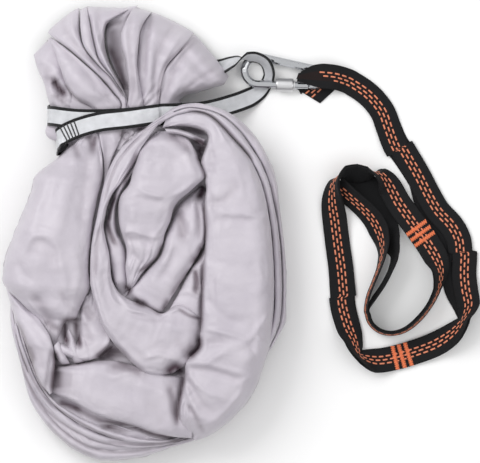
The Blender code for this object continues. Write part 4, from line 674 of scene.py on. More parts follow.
    ([(168, 300), (164, 310)], 2.2, -3.6, 0, 0.5),
    ([(126, 286), (130, 290), (127, 294)], 2.4, -6, 0, 0.85),
    ([(136, 300), (141, 303), (146, 304)], 2.6, -7, 0, 0.95),
    ([(132, 292), (138, 296), (141, 300)], 1.8, 2.6, 0, 0),
    ([(142, 302), (152, 308), (161, 314)], 1.5, -2.4, 1.6, 0.4),
    ([(162, 313), (170, 311), (180, 308)], 1.8, 2.8, 0, 0),
    ([(120, 296), (132, 309), (146, 312)], 2.2, 2.8, 0, 0),
    ([(132, 313), (146, 317), (160, 319)], 3.0, -2.6, 0, 0.08),
    ([(146, 276), (138, 284), (134, 292)], 2.2, 2.2, 0, 0),
    # strip and pouch
    ([(152, 128), (136, 142), (122, 158), (112, 178), (106, 200)], 1.6, -2.2, 1.4, 0.25),
    ([(144, 132), (128, 147), (116, 164), (108, 184)], 1.4, 1.8, 0, 0),
    ([(101, 226), (97, 252), (96, 276)], 2.6, -3.0, 0, 0.3),
    ([(112, 250), (112, 268), (118, 286)], 3.0, 2.6, 0, 0),
    ([(104, 268), (106, 292), (114, 314)], 4, -2.4, 0, 0.06),
    ([(96, 296), (106, 320), (122, 344), (142, 364)], 3.0, 2.0, 0, 0),
    ([(146, 358), (158, 354), (172, 358), (179, 363)], 2.0, 2.6, 0, 0),
    ([(150, 348), (160, 346), (172, 350)], 3.6, -2.6, 0, 0.05),
    ([(118, 322), (132, 330), (150, 332)], 7, -2.2, 0, 0.03),
    ([(168, 324), (184, 330), (196, 340)], 5, 2.4, 0, 0),
    ([(176, 340), (184, 348), (186, 358)], 3, -2.6, 0, 0.15),
    ([(120, 336), (134, 350), (148, 364)], 4, -2.0, 0, 0.04),
    # neck
    ([(108, 136), (108, 160), (106, 180)], 4, -2.4, 0, 0.1),
    ([(112, 134), (116, 144)], 2, 2.0, 0, 0),
    ([(122, 133), (128, 138)], 4.0, -5, 0, 0.65),
    ([(132, 131), (136, 139)], 1.8, 3.0, 0, 0),
    ([(138, 130), (146, 128)], 2.2, -4, 0, 0.8),
    ([(96, 137), (94, 146)], 2.2, -4, 0, 0.6),
    ([(70, 142), (76, 148), (80, 158)], 3, -3, 0, 0.3),
    # tuft
    ([(54, 80), (58, 87), (65, 95)], 3.0, -16, 0, 1.0),
    ([(50, 92), (60, 99), (76, 108)], 2.2, 4.0, 0, 0),
    ([(70, 90), (80, 102), (92, 108)], 2.4, 3.4, 0, 0),
    ([(49, 84), (52, 96), (60, 108)], 2.2, 3.4, 0, 0),
    ([(56, 96), (66, 104)], 2.0, -3.4, 0, 0.5),
    ([(46, 70), (50, 84)], 3, -2.6, 0, 0.2),
    ([(37, 60), (52, 66), (62, 74)], 2.4, 2.4, 0, 0),
    ([(42, 76), (52, 76), (60, 80)], 2.2, 2.6, 0, 0),
    ([(54, 70), (64, 86), (72, 98)], 2.2, 2.6, 0, 0.0),
    ([(66, 86), (76, 98), (90, 106)], 1.8, -3.0, 0, 0.4),
    ([(60, 44), (80, 62), (104, 92), (118, 110)], 2.4, -2.0, 1.4, 0.1),
    ([(58, 50), (76, 76), (104, 106)], 9, 2.6, 0, 0),
    ([(62, 22), (72, 42), (96, 66), (118, 98)], 3, -2.6, 0, 0.12),
    ([(70, 14), (76, 36), (90, 54)], 3, 2.2, 0, 0),
    ([(54, 32), (68, 50), (88, 70)], 2.2, 2.0, 0, 0),
    ([(98, 8), (101, 34), (108, 58), (122, 90)], 2.4, -2.6, 0, 0.15),
    ([(92, 10), (96, 36), (104, 58), (118, 84)], 1.8, 2.2, 0, 0),
    ([(110, 48), (118, 66), (126, 92)], 3.4, -6, 0, 0.8),
    ([(106, 26), (112, 23), (122, 24)], 2.6, -3, 0, 0.3),
    ([(112, 30), (116, 46), (122, 64)], 4.5, -4, 0, 0.4),
    ([(131, 14), (130, 40), (133, 74), (134, 98)], 2.6, -2.6, 0, 0.15),
    ([(144, 18), (140, 32), (136, 62), (138, 90)], 1.8, 2.2, 0, 0),
    ([(158, 20), (152, 52), (150, 98)], 4, 2.4, 0, 0),
    ([(152, 16), (146, 46), (145, 80)], 2.6, -2.6, 0, 0.15),
    ([(172, 26), (158, 58), (153, 100)], 3, -3.0, 0, 0.15),
    ([(184, 32), (166, 60), (157, 100)], 2.4, 2.2, 0, 0),
    ([(196, 42), (176, 66), (164, 98)], 2.6, -3.0, 0, 0.2),
    ([(206, 54), (184, 74), (168, 104)], 3.6, 2.6, 0, 0),
    ([(216, 70), (196, 82), (174, 104)], 2.8, -2.4, 0, 0.1),
    ([(194, 38), (180, 52), (166, 66), (160, 84), (159, 102)], 1.8, -2.6, 1.4, 0.35),
    ([(222, 78), (202, 90), (182, 98)], 2, 1.6, 0, 0),
]

# Each line is cut into short straight pieces, and the vertices near it move by
# their distance from the nearest piece.
CUTS = 11
points = np.array([vertex.co for vertex in cloth.verts])
weight = np.array([vertex[crest_and_painted_shade] for vertex in cloth.verts])
plan_x, plan_y = on_plan(points[:, 0], points[:, 1])
raised = np.zeros(len(points))
# Painted shade of the creases, one where there is none.
shade = np.ones(len(points))
for line, half, height, drop, painted_shade_amount in CREASES:
    dense = np.array([(place.x, place.y) for place in even_line(line, CUTS + 1)])
    reach = 3 * half + (6 if drop else 0)
    low_x, low_y = dense.min(0) - reach
    high_x, high_y = dense.max(0) + reach
    near = np.nonzero((plan_x > low_x) & (plan_x < high_x)
                      & (plan_y > low_y) & (plan_y < high_y))[0]
    spots = np.stack([plan_x[near], plan_y[near]], 1)
    best = np.full(len(near), 1e9)
    where = np.zeros(len(near))
    side = np.ones(len(near))
    for k in range(CUTS):
        a, step = dense[k], dense[k + 1] - dense[k]
        t = np.clip(((spots - a) @ step) / max(step @ step, 1e-9), 0, 1)
        off = spots - a - t[:, None] * step
        gap = np.linalg.norm(off, axis=1)
        closer = gap < best
        best = np.where(closer, gap, best)
        where = np.where(closer, (k + t) / CUTS, where)
        turned = np.sign(step[0] * off[:, 1] - step[1] * off[:, 0])
        side = np.where(closer, turned, side)
    fade = np.clip(np.minimum(where, 1 - where) * 6 + 0.3, 0, 1)
    raised[near] += height * np.exp(-(best / half) ** 2) * fade
    step_down = np.tanh(side * best / half * 2) * np.exp(-(best / (2.5 * half)) ** 2)
    raised[near] -= drop * step_down * fade
    # Painted shade: the colour darkens along the crease, most in deep pockets.
    shade[near] *= 1 - painted_shade_amount * np.exp(-(best / (half * 1.1)) ** 2) * np.sqrt(fade)

# Small pleats fan out from where the sling squeezes the tuft, above its edge.
SQUEEZE_X, SQUEEZE_Y = 128, 118
SLING_EDGE_Y = 112
PLEAT_HEIGHT = 1.6
PLEATS_MIDDLE = 26
fan = np.arctan2(plan_x - SQUEEZE_X, SQUEEZE_Y + 4 - plan_y)
reach = np.hypot(plan_x - SQUEEZE_X, plan_y - SQUEEZE_Y)
fade = np.clip(1 - np.abs(reach - PLEATS_MIDDLE) / PLEATS_MIDDLE, 0, 1)
pleats = np.sin(fan * 26 + 2 * np.sin(fan * 9)) * fade
raised += np.where(plan_y < SLING_EDGE_Y, pleats * PLEAT_HEIGHT, 0)
points[:, 2] += raised * np.minimum(1, weight * 1.3) / 1000
# The painted shade of creases and rims is stored on each vertex for the satin colour.
for vertex, place, share in zip(cloth.verts, points, shade * (0.5 + 0.5 * weight)):
    vertex.co.z = max(0.0006, place[2])
    vertex[crest_and_painted_shade] = share


# Rest of the cloth: it lies folded to and fro inside the bundle, hidden by
# the folds above it.

LAYERS = 92
LAYER_CELLS = 5
LAYER_ROWS = 22
LAYER_MARGIN = 0.07
LOWEST_LAYER = 7
LAYERS_RISE = 38
lefts = even_line(OUTLINE_LEFT[2:], LAYER_ROWS + 1)
rights = even_line(OUTLINE_RIGHT[2:], LAYER_ROWS + 1)
grid = bmesh.ops.create_grid(cloth, x_segments=LAYERS * LAYER_CELLS, y_segments=LAYER_ROWS,
                             size=1.0)
for vertex in grid["verts"]:
    row = round((vertex.co.y + 1) / 2 * LAYER_ROWS)
    along = (vertex.co.x + 1) / 2 * LAYERS
    number = min(int(along), LAYERS - 1)
    share = along - number
    if number % 2:
        share = 1 - share
    place = lefts[row].lerp(rights[row], LAYER_MARGIN + (1 - 2 * LAYER_MARGIN) * share)
    end = max(0.0, 1 - min(row, LAYER_ROWS - row) / 3)
    height = LOWEST_LAYER + LAYERS_RISE * along / LAYERS * (1 - 0.3 * end)
    vertex.co = plan(place.x, place.y, height / 1000)
# Their stored weight stays at nought, so the satin paints them in the deep plum of full painted shade.
for face in {face for vertex in grid["verts"] for face in vertex.link_faces}:
    face.smooth = True

hammock_cloth = built("hammock_cloth", cloth)


# Satin tricot. Its lilac drifts a little from place to place, and painted shade turns it
# to deep plum at rolled rims and inside the grooves; drape, crinkles and the fine knit are raised on
# it.

def cloud(tree, vector, **values):
    """The factor of a noise texture over a vector."""
    node = grown(tree, "ShaderNodeTexNoise", **values)
    tree.links.new(vector, node.inputs["Vector"])
    return node.outputs["Fac"]


def mixed(tree, factor, low, high):
    """The colour between two, each a socket or red, green and blue."""
    mix = grown(tree, "ShaderNodeMix", data_type="RGBA")
    tree.links.new(factor, mix.inputs[0])
    for at, colour in ((6, low), (7, high)):
        if isinstance(colour, tuple):
            mix.inputs[at].default_value = (*colour, 1)
        else:
            tree.links.new(colour, mix.inputs[at])
    return mix.outputs[2]


def bumped(tree, height, strength, distance, under=None):
    """A normal raised by a height, on top of another one if it is given."""
    bump = grown(tree, "ShaderNodeBump", Strength=strength, Distance=distance)
    tree.links.new(height, bump.inputs["Height"])
    if under is not None:
        tree.links.new(under, bump.inputs["Normal"])
    return bump.outputs["Normal"]


satin, tree, shader = surface("lilac_tricot", (0.60, 0.55, 0.625), 0.46)
shader.inputs["Sheen Weight"].default_value = 0.25
shader.inputs["Sheen Roughness"].default_value = 0.35
shader.inputs["Specular IOR Level"].default_value = 0.42
place = grown(tree, "ShaderNodeTexCoord").outputs["Object"]
rim = grown(tree, "ShaderNodeAttribute", attribute_name="crest_and_painted_shade").outputs["Fac"]
lilac = toned(tree, cloud(tree, place, Scale=22.0, Detail=4.0), (0.53, 0.492, 0.55),
              (0.60, 0.56, 0.615), 0.3, 0.7)
# Painted shade: the colour goes from lilac to deep plum as the stored shade weight falls.
tree.links.new(mixed(tree, rim, (0.085, 0.050, 0.068), lilac), shader.inputs["Base Color"])
drape = bumped(tree, cloud(tree, place, Scale=21.0, Detail=3.0, Distortion=0.5), 0.4, 0.006)
crinkle = bumped(tree, cloud(tree, place, Scale=95.0, Detail=5.0, Distortion=0.8), 0.35, 0.0016,
                 drape)
knit = bumped(tree, cloud(tree, place, Scale=1400.0), 0.12, 0.0003, crinkle)
tree.links.new(knit, shader.inputs["Normal"])
hammock_cloth.data.materials.append(satin)
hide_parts("hammock_fabric")
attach(hammock_cloth, "bundle")


# Routes of the webbings. A station is a place, a direction across and a width;
# smooth curves through the stations give the sections that are swept.

# Widths, thickness, height of one layer on another, step along a route, gap to
# the floor and half width of a tinted middle strip, all in metres.
UP = Vector((0, 0, 1))
SLING_WIDTH = 0.025
STRAP_WIDTH = 0.031
WEB_THICKNESS = 0.0018
WEB_PITCH = 0.0023
WEB_STEP = 0.0020
FLOOR_GAP = 0.0002
MIDDLE_HALF = 0.0062


def station_line(stations, step, closed=False):
    """Stations along a smooth curve through the given ones."""
    count = len(stations)
    made = []
    for i in range(count if closed else count - 1):
        quad = around(stations, i, closed)
        cuts = max(1, round((quad[2][0] - quad[1][0]).length / step))
        for k in range(cuts):
            t = k / cuts
            made.append((eased(*[s[0] for s in quad], t), quad[1][1].lerp(quad[2][1], t),
                         quad[1][2] * (1 - t) + quad[2][2] * t))
    if not closed:
        made.append(stations[-1])
    return made


def squared(across, forward):
    """The direction across, made square to the one forward."""
    return (across - forward * across.dot(forward)).normalized()


def square_frames(stations, closed=False):
    """Place, forward, across, normal and width of each station."""
    frames = []
    count = len(stations)
    for i, (place, across, width) in enumerate(stations):
        if closed:
            forward = stations[(i + 1) % count][0] - stations[i - 1][0]
        else:
            forward = stations[min(i + 1, count - 1)][0] - stations[max(i - 1, 0)][0]
        forward.normalize()
        across = squared(across, forward)
        frames.append((place, forward, across, forward.cross(across), width))
    return frames


def off_floor(frames):
    """The frames, raised where a webbing's lowest corner would reach the floor."""
    made = []
    for place, forward, across, normal, width in frames:
        low = place.z - abs(across.z) * width / 2 - abs(normal.z) * WEB_THICKNESS / 2
        made.append((place + UP * max(0.0, FLOOR_GAP - low), forward, across, normal, width))
    return made


def read_table(table, at):
    """A reading between the rows of a table of places and values."""
    if at <= table[0][0]:
        return table[0][1]
    for (x0, v0), (x1, v1) in zip(table, table[1:]):
        if at <= x1:
            return v0 + (v1 - v0) * (at - x0) / (x1 - x0)
    return table[-1][1]


# Half of a webbing's section, from one edge to the other: the share of its
# width and of its half thickness, with the edges rounded over.
SECTION = [(-0.5, 0.3), (-0.488, 0.82), (-0.46, 1.0), (-0.4, 0.94), (-0.25, 0.92), (-0.08, 0.92),
           (0.08, 0.92), (0.25, 0.92), (0.4, 0.94), (0.46, 1.0), (0.488, 0.82), (0.5, 0.3)]


def sweep(shape, frames, closed=False, full=None):
    """Adds a flat woven band along the frames, with a map in metres on it."""
    ring = SECTION + [(share, -up) for share, up in reversed(SECTION)]
    layer = shape.loops.layers.uv.verify()
    rows = []
    reach = 0.0
    before = None
    for place, forward, across, normal, width in frames:
        if before is not None:
            reach += (place - before).length
        before = place
        rows.append((reach, [shape.verts.new(place + across * width * share
                                             + normal * WEB_THICKNESS / 2 * up)
                             for share, up in ring]))
    if closed:
        reach += (frames[0][0] - before).length
        rows.append((reach, rows[0][1]))
    wide = full or max(frame[4] for frame in frames)
    for (u0, row), (u1, after) in zip(rows, rows[1:]):
        for k in range(len(ring)):
            m = (k + 1) % len(ring)
            face = shape.faces.new((row[k], after[k], after[m], row[m]))
            face.smooth = True
            for loop, spot in zip(face.loops, ((u0, k), (u1, k), (u1, m), (u0, m))):
                loop[layer].uv = (spot[0], ring[spot[1]][0] * wide)
    if not closed:
        for row, turned in ((rows[0][1], False), (rows[-1][1], True)):
            face = shape.faces.new(row[::-1] if turned else row)
            face.smooth = False


def finished(name, shape, material):
    """A new object from a bmesh, faces outwards, with its material."""
    bmesh.ops.recalc_face_normals(shape, faces=shape.faces)
    made = built(name, shape)
    made.data.materials.append(material)
    return made


def between(a, b, t):
    """Place, forward, across and normal a share of the way between two frames."""
    return [a[i].lerp(b[i], t) for i in range(4)]


def frame_along(frames, start, distance):
    """The frame a distance along a webbing from one of its frames, face up."""
    step = 1 if distance > 0 else -1
    at = start
    left = abs(distance)
    while 0 <= at + step < len(frames):
        reach = (frames[at + step][0] - frames[at][0]).length
        if left <= reach:
            break
        left -= reach
        at += step
    there = frames[min(max(at + step, 0), len(frames) - 1)]
    t = min(1.0, left / max((there[0] - frames[at][0]).length, 1e-9))
    place, forward, across, normal = between(frames[at], there, t)
    forward.normalize()
    across = squared(across, forward)
    return place, forward, across, forward.cross(across)


def nearest(frames, place):
    """The number of the frame that is nearest to a place."""
    return min(range(len(frames)), key=lambda i: (frames[i][0] - place).length)


def woven(name, base, edge, edge_from, roughness, rib, sheen, middle=None):
    """Webbing: ribs across the weave, a coloured edge from a distance off the
    centre line, and a tinted middle strip if one is given."""
    made, tree, shader = surface(name, base, roughness)
    links = tree.links
    shader.inputs["Sheen Weight"].default_value = sheen
    shader.inputs["Specular IOR Level"].default_value = 0.3
    uv = grown(tree, "ShaderNodeUVMap").outputs[0]
    split = grown(tree, "ShaderNodeSeparateXYZ")
    links.new(uv, split.inputs[0])
    away = grown(tree, "ShaderNodeMath", operation="ABSOLUTE")
    links.new(split.outputs["Y"], away.inputs[0])
    colour = uneven(tree, cloud(tree, uv, Scale=90.0, Detail=4.0), base, 0.72, 1.18)
    for limit, tint, operation in ((edge_from, edge, "GREATER_THAN"),
                                   (MIDDLE_HALF, middle, "LESS_THAN")):
        if tint is None:
            continue
        test = grown(tree, "ShaderNodeMath", operation=operation)
        test.inputs[1].default_value = limit
        links.new(away.outputs[0], test.inputs[0])
        colour = mixed(tree, test.outputs[0], colour, tint)
    links.new(colour, shader.inputs["Base Color"])
    both = grown(tree, "ShaderNodeMath", operation="MULTIPLY")
    for at, heading, scale, distortion in ((0, "X", rib, 0.6), (1, "Y", rib * 0.6, 0.3)):
        ribs = grown(tree, "ShaderNodeTexWave", wave_type="BANDS", bands_direction=heading,
                     Scale=scale / 6.28, Distortion=distortion)
        links.new(uv, ribs.inputs["Vector"])
        links.new(ribs.outputs["Fac"], both.inputs[at])
    links.new(bumped(tree, both.outputs[0], 0.55, 0.0004), shader.inputs["Normal"])
    return made


# Choker sling. One endless silver-white webbing with black selvedges goes
# twice round the neck of the bundle and out through the carabiner's wide end.

NECK_LEFT = ((94, 49.0), (127, 49.0), (135, 58.0), (160, 58.0))
NECK_RIGHT = 181.0
NECK_MIDDLE_HEIGHT = 0.0326
NECK_HALF_HEIGHT = 0.030


def neck_place(row, turn, lift, spread=0.0):
    """A place round the neck at a plan row, lifted off the widest cloth that lies
    within a spread to either side of the row."""
    edge = min(read_table(NECK_LEFT, row + side * spread / UNIT) for side in (-1, 0, 1))
    left, right = plan(edge, row).x, plan(NECK_RIGHT, row).x
    c, s = math.cos(turn), math.sin(turn)
    x = (left + right) / 2 + ((right - left) / 2 + lift) * math.copysign(abs(c) ** 0.8, c)
    z = NECK_MIDDLE_HEIGHT + (NECK_HALF_HEIGHT + lift) * math.copysign(abs(s) ** 0.8, s)
    return Vector((x, plan(0, row).y, z))


# Rows: turn angle in degrees, plan y, layers below.
FIRST_TURN = (
    (50, 114.0, 1), (66, 116.0, 1), (80, 118.5, 1), (95, 121.5, 1), (110, 126.0, 1),
    (125, 131.5, 1), (140, 138.0, 1), (152, 142.0, 0.8), (165, 144.5, 0.2), (180, 145.5, 0),
    (192, 145.5, 0), (210, 143.5, 0), (230, 138.0, 0), (255, 124.5, 0), (270, 116.0, 0),
    (285, 109.5, 0), (310, 107.5, 0), (335, 110.5, 0), (350, 114.0, 0),
)
SECOND_TURN = (
    (0, 115.5, 0), (12, 115.5, 0), (30, 115.5, 0), (55, 116.0, 0), (75, 117.5, 0),
    (95, 119.5, 0), (115, 119.5, 0), (135, 118.0, 0), (152, 116.5, 0), (168, 116.0, 0),
    (180, 116.0, 0), (192, 115.0, 0), (210, 112.5, 0), (230, 108.5, 0), (255, 102.0, 0),
    (275, 93.5, 0),
)
# Rows: plan x, plan y, height in millimetres, direction across, share of the width.
BIGHT = (
    (160.0, 84.0, 1.0, (0, -1, 0), 1), (190.0, 74.5, 1.0, (0, -1, 0), 1),
    (208.0, 70.5, 1.0, (0, -1, 0), 1), (219.0, 67.5, 7.5, (0, -0.86, 0.5), 1),
    (228.5, 63.8, 15, (-0.05, -0.72, 0.69), 1), (236.5, 60.8, 20.5, (-0.1, -0.5, 0.86), 1),
    (243.0, 58.8, 23, (-0.12, 0.05, 1), 1), (248.5, 57.4, 24, (-0.05, 0.5, 0.86), 1),
    (255.0, 57.2, 24, (0.12, 0.50, 0.86), 1),
    (263.0, 60.8, 20, (0.38, 0.34, 0.86), 1), (268.0, 68.0, 12.5, (0.52, 0.1, 0.84), 0.9),
    (269.0, 76.0, 5.4, (0.8, -0.15, 0.58), 0.65), (266.0, 84.0, 1.5, (0.86, -0.5, 0), 0.62),
    (259.5, 91.0, 1.3, (0.6, -0.8, 0), 0.85), (249.0, 97.5, 6.2, (0.4, -0.92, 0), 1),
    (232.0, 104.0, 21.9, (0.3, -0.95, 0), 1), (211.0, 110.0, 41.9, (0.15, -1, 0), 1),
    (192.0, 113.0, 57.5, (0.05, -1, 0), 1),
)
sling_stations = []


def add_neck_station(degrees, row, below):
    """A station of the sling on the neck, with a number of layers below it."""
    lift = 0.0013 + WEB_PITCH * below
    sling_stations.append((neck_place(row, math.radians(degrees), lift, SLING_WIDTH / 2),
                           Vector((0, -1, 0)), SLING_WIDTH))


for table in (FIRST_TURN, SECOND_TURN):
    for i in range(len(table) - 1):
        quad = around(table, i)
        cuts = max(1, round((quad[2][0] - quad[1][0]) / 6.0))
        for k in range(cuts):
            add_neck_station(*[eased(*values, k / cuts) for values in zip(*quad)])
    add_neck_station(*table[-1])
sling_stations += [(plan(x, y, height / 1000), Vector(across), SLING_WIDTH * share)
                   for x, y, height, across, share in BIGHT]
sling_frames = off_floor(square_frames(station_line(sling_stations, WEB_STEP, True), True))
sling_web = woven("sling_webbing", (0.74, 0.75, 0.78), edge=(0.006, 0.006, 0.007),
                  edge_from=0.0086, roughness=0.26, rib=5200.0, sheen=0.1)
sling_web.node_tree.nodes["Principled BSDF"].inputs["Metallic"].default_value = 0.2
shape = bmesh.new()
sweep(shape, sling_frames, closed=True)
choker = finished("choker_webbing", shape, sling_web)
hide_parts("choker_sling")
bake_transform(choker)


# Thread bars. Each is a close row of slanted stitches that stands on its
# webbing: black ones join the sling, orange ones close the strap's loops.

def skinned(shape, rows):
    """A stitch's skin over rows of five vertices, closed at both ends."""
    for row, after in zip(rows, rows[1:]):
        for k in range(5):
            m = (k + 1) % 5
            shape.faces.new((row[k], row[m], after[m], after[k])).smooth = True
    shape.faces.new(rows[0])
    shape.faces.new(rows[-1])


def bar_of_threads(shape, frame, length, width, height, pitch, lift):
    """A bar of stitches across a webbing, at one of its frames."""
    place, forward, across, normal = frame
    if normal.z < 0:
        across, normal = -across, -normal
    count = round(length / pitch)
    for i in range(count):
        centre = (i + 0.5) / count * length - length / 2
        lean = pitch * (0.9 if i % 2 else -0.9)
        reach = width / 2 * (1 + 0.12 * math.sin(i * 2.4))
        rows = []
        for end in (-1.0, -0.6, 0.0, 0.6, 1.0):
            spot = place + forward * reach * end + across * (centre + lean * end * 0.5)
            crown = height * math.sqrt(max(0.0, 1 - (end * 0.94) ** 2))
            rows.append([shape.verts.new(spot + across * pitch * 0.62 * math.cos(turn)
                                         + normal * (lift + crown * (0.25 + 0.75 * math.sin(turn))))
                         for turn in (0.0, 0.8, 1.57, 2.34, 3.14)])
        skinned(shape, rows)


def thread(name, colour):
    """Twisted sewing thread, a little uneven in tone."""
    made, tree, shader = surface(name, colour, 0.5)
    place = grown(tree, "ShaderNodeTexCoord").outputs["Object"]
    twist = cloud(tree, place, Scale=700.0, Detail=2.0)
    tree.links.new(uneven(tree, twist, colour, 0.7, 1.2), shader.inputs["Base Color"])
    tree.links.new(bumped(tree, twist, 0.4, 0.0003), shader.inputs["Normal"])
    shader.inputs["Sheen Weight"].default_value = 0.2
    return made


black_thread = thread("black_thread", (0.010, 0.010, 0.011))
orange_thread = thread("orange_thread", (0.95, 0.20, 0.065))
salmon_thread = thread("salmon_thread", (0.80, 0.25, 0.125))
wine_thread = thread("wine_thread", (0.10, 0.012, 0.012))

joint_at = nearest(sling_frames, neck_place(135.5, math.radians(132), 0.0013))
for i in range(5):
    shape = bmesh.new()
    bar_of_threads(shape, frame_along(sling_frames, joint_at, (i - 2) * 0.0045),
                   length=0.0200, width=0.0019, height=0.0007, pitch=0.0009, lift=0.0009)
    made = finished("sling_bar_threads_%d" % (i + 1), shape, black_thread)
    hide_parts("sling_bar_tack_%d" % (i + 1))
    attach(made, "bundle")


# Daisy-chain strap. A lined webbing with three rows of stitches lies on a plain
# one; together they run round the open figure and part at the far end.

def own_stations(route, below=0.0):
    """Stations from rows of plan x, plan y, layers below and tilt in degrees."""
    made = []
    for i, (x, y, layers, tilt) in enumerate(route):
        turn = math.radians(tilt)
        before, after = route[max(i - 1, 0)], route[min(i + 1, len(route) - 1)]
        heading = (plan(*after[:2]) - plan(*before[:2])).normalized()
        height = 0.001 + WEB_PITCH * (layers + below) + STRAP_WIDTH / 2 * abs(math.sin(turn))
        across = UP.cross(heading) * math.cos(turn) + UP * math.sin(turn)
        made.append((plan(x, y, height), across, STRAP_WIDTH))
    return made


PAIR_ROUTE = (
    (348.0, 80.5, 1.6, 0), (360.0, 87.5, 1.0, 0), (372.0, 97.0, 1.0, 0), (383.0, 111.0, 1.0, 0),
    (389.5, 127.0, 1.0, 0), (396.5, 143.0, 1.0, 0), (407.0, 158.0, 1.0, 0),
    (418.0, 175.0, 1.0, 0), (429.0, 195.0, 1.0, 0), (439.0, 211.0, 1.0, 0),
    (452.0, 224.5, 1.0, 0), (460.5, 239.0, 1.0, 0), (463.5, 256.0, 1.0, 0),
    (464.0, 275.0, 1.0, 0), (466.5, 292.0, 1.0, 8), (469.5, 306.0, 1.0, 30),
    (465.0, 320.0, 1.0, 74), (454.0, 333.0, 1.0, 40), (436.0, 344.5, 1.0, 8),
    (415.0, 352.5, 1.0, 0), (394.0, 358.5, 1.0, 0), (375.5, 361.0, 1.0, 20),
    (359.5, 356.5, 1.0, 76), (353.5, 341.0, 1.0, 48), (348.5, 326.0, 1.0, 8),
    (344.0, 308.0, 1.0, 0), (342.5, 290.0, 1.0, 0), (341.0, 268.0, 1.0, 0),
    (338.0, 245.0, 1.0, 0), (335.0, 220.0, 1.6, -8), (333.0, 200.0, 2.3, -35),
    (335.5, 182.0, 2.3, -72), (345.0, 173.5, 2.0, -118), (358.0, 173.0, 1.6, -134),
    (370.0, 173.0, 1.8, -112), (381.0, 176.0, 2.8, -54), (390.0, 187.0, 3.7, -14),
    (398.0, 201.0, 4.0, 0), (409.0, 217.0, 4.0, 0), (421.0, 233.5, 4.0, 0),
    (431.0, 248.0, 4.0, 0), (437.5, 261.0, 3.6, -22), (440.0, 274.0, 2.6, -58),
    (437.5, 289.0, 1.6, -76), (430.0, 305.0, 1.0, -80), (419.0, 319.0, 1.0, -80),
    (406.0, 329.5, 1.0, -82), (392.0, 333.5, 1.0, -84), (379.0, 330.5, 1.0, -84),
    (370.0, 321.5, 1.0, -84), (367.0, 309.0, 1.0, -84),
)
LINED_ROUTE = (
    (368.5, 296.0, 0.6, -84), (373.5, 283.0, 0.6, -84), (379.0, 269.0, 0.6, -82),
    (382.5, 255.0, 0.6, -74), (382.5, 242.0, 0.8, -56), (378.5, 229.5, 1.0, -36),
    (371.5, 217.5, 1.0, -38), (361.0, 206.5, 1.0, -44), (350.0, 197.0, 1.0, -44),
    (343.0, 191.0, 1.0, -40), (336.5, 186.0, 1.0, -36),
)
PLAIN_ROUTE = (
    (374.5, 298.0, 0.5, -82), (383.0, 285.5, 0.5, -82), (390.5, 271.0, 0.5, -82),
    (395.0, 256.0, 0.5, -74), (392.0, 243.5, 0.5, -44), (387.5, 231.0, 0.2, -8),
    (385.0, 216.0, 0.0, 0), (380.0, 199.0, 0.0, 0), (369.0, 187.0, 0.0, 0),
    (356.0, 182.5, 0.0, 0), (344.0, 184.0, 0.0, 0),
)
# Rows: plan y, how far the plain webbing lies beside the lined one.
PLAIN_SHIFT = ((182, 0.0), (200, 5.0), (232, 9.0), (285, 9.0), (308, 4.0), (325, 0.0))
# Rows: a place where the lined webbing steps aside, and by how much, in plan units.
STEPS_ASIDE = ((402.0, 148.0, 2.6), (466.5, 252.0, 2.4), (342.0, 297.0, -1.4))
STEP_FADE = 0.030
# Rows: plan x, plan y, height in millimetres, share of the width, of the eye.
EYE_ROUTE = (
    (306.0, 90.0, 1.0, 0.5), (302.5, 85.0, 1.1, 0.42), (300.5, 79.5, 1.4, 0.26),
    (301.5, 75.6, 4.6, 0.20), (301.8, 75.0, 8.8, 0.20), (300.6, 75.0, 13.2, 0.20),
    (298.0, 76.0, 16.4, 0.24), (300.0, 76.6, 17.4, 0.36), (306.0, 76.2, 16.6, 0.60),
    (314.0, 75.6, 15.9, 0.88), (323.0, 75.6, 15.4, 1.0), (336.0, 77.0, 12.0, 1.0),
)
FLAP_ROUTE = ((308.4, 95.5), (312.1, 92.2), (316.0, 88.6), (320.0, 85.0), (324.4, 81.0),
              (329.0, 76.8))

pair_frames = square_frames(station_line(own_stations(PAIR_ROUTE, -0.5), 0.0085))


def pair_side(face):
    """One webbing of the pair: face +1 is the lined one, on top, -1 the plain one."""
    made = []
    last = len(pair_frames) - 1
    for i, (place, forward, across, normal, width) in enumerate(pair_frames):
        before, after = pair_frames[max(i - 2, 0)], pair_frames[min(i + 2, last)]
        twist = before[2].angle(after[2]) / (after[0] - before[0]).length
        spread = WEB_PITCH * math.hypot(1, STRAP_WIDTH * 0.6 * twist)
        under = place - normal * spread / 2
        low = under.z - abs(across.z) * width / 2 - abs(normal.z) * 0.001
        raised = place + UP * max(0.0, FLOOR_GAP - low)
        shift = 0.0
        if face < 0 and i < last * 0.4:
            shift = read_table(PLAIN_SHIFT, on_plan(place.x, place.y)[1]) * UNIT
        made.append((raised + normal * spread / 2 * face - across * shift, across, width))
    return made


def stepped(frames):
    """The frames, moved across on each side of every step aside."""
    marks = [(nearest(frames, plan(x, y, 0.003)), amount) for x, y, amount in STEPS_ASIDE]
    made = []
    for i, (place, forward, across, normal, width) in enumerate(frames):
        move = 0.0
        for at, amount in marks:
            gap = (i - at) * WEB_STEP
            move += amount * math.copysign(math.exp(-abs(gap) / STEP_FADE), gap + 1e-6) * UNIT
        made.append((place + across * move, forward, across, normal, width))
    return made


lined_side, plain_side = pair_side(1), pair_side(-1)
eye = []
for x, y, height, share in EYE_ROUTE:
    across = Vector((0.9, 0.43, 0) if height < 2 else (0.125, 0.99, 0))
    eye.append((plan(x, y, height / 1000), across, STRAP_WIDTH * share))
lined_stations = eye + lined_side + own_stations(LINED_ROUTE)
plain_stations = plain_side[1:] + own_stations(PLAIN_ROUTE)
lined_frames = stepped(off_floor(square_frames(station_line(lined_stations, WEB_STEP))))
plain_frames = off_floor(square_frames(station_line(plain_stations, WEB_STEP)))
flap_frames = [(plan(x, y, 0.0012), Vector((0.74, 0.67, 0)), Vector((-0.852, 0.525, 0)), UP, 0.035)
               for x, y in FLAP_ROUTE]

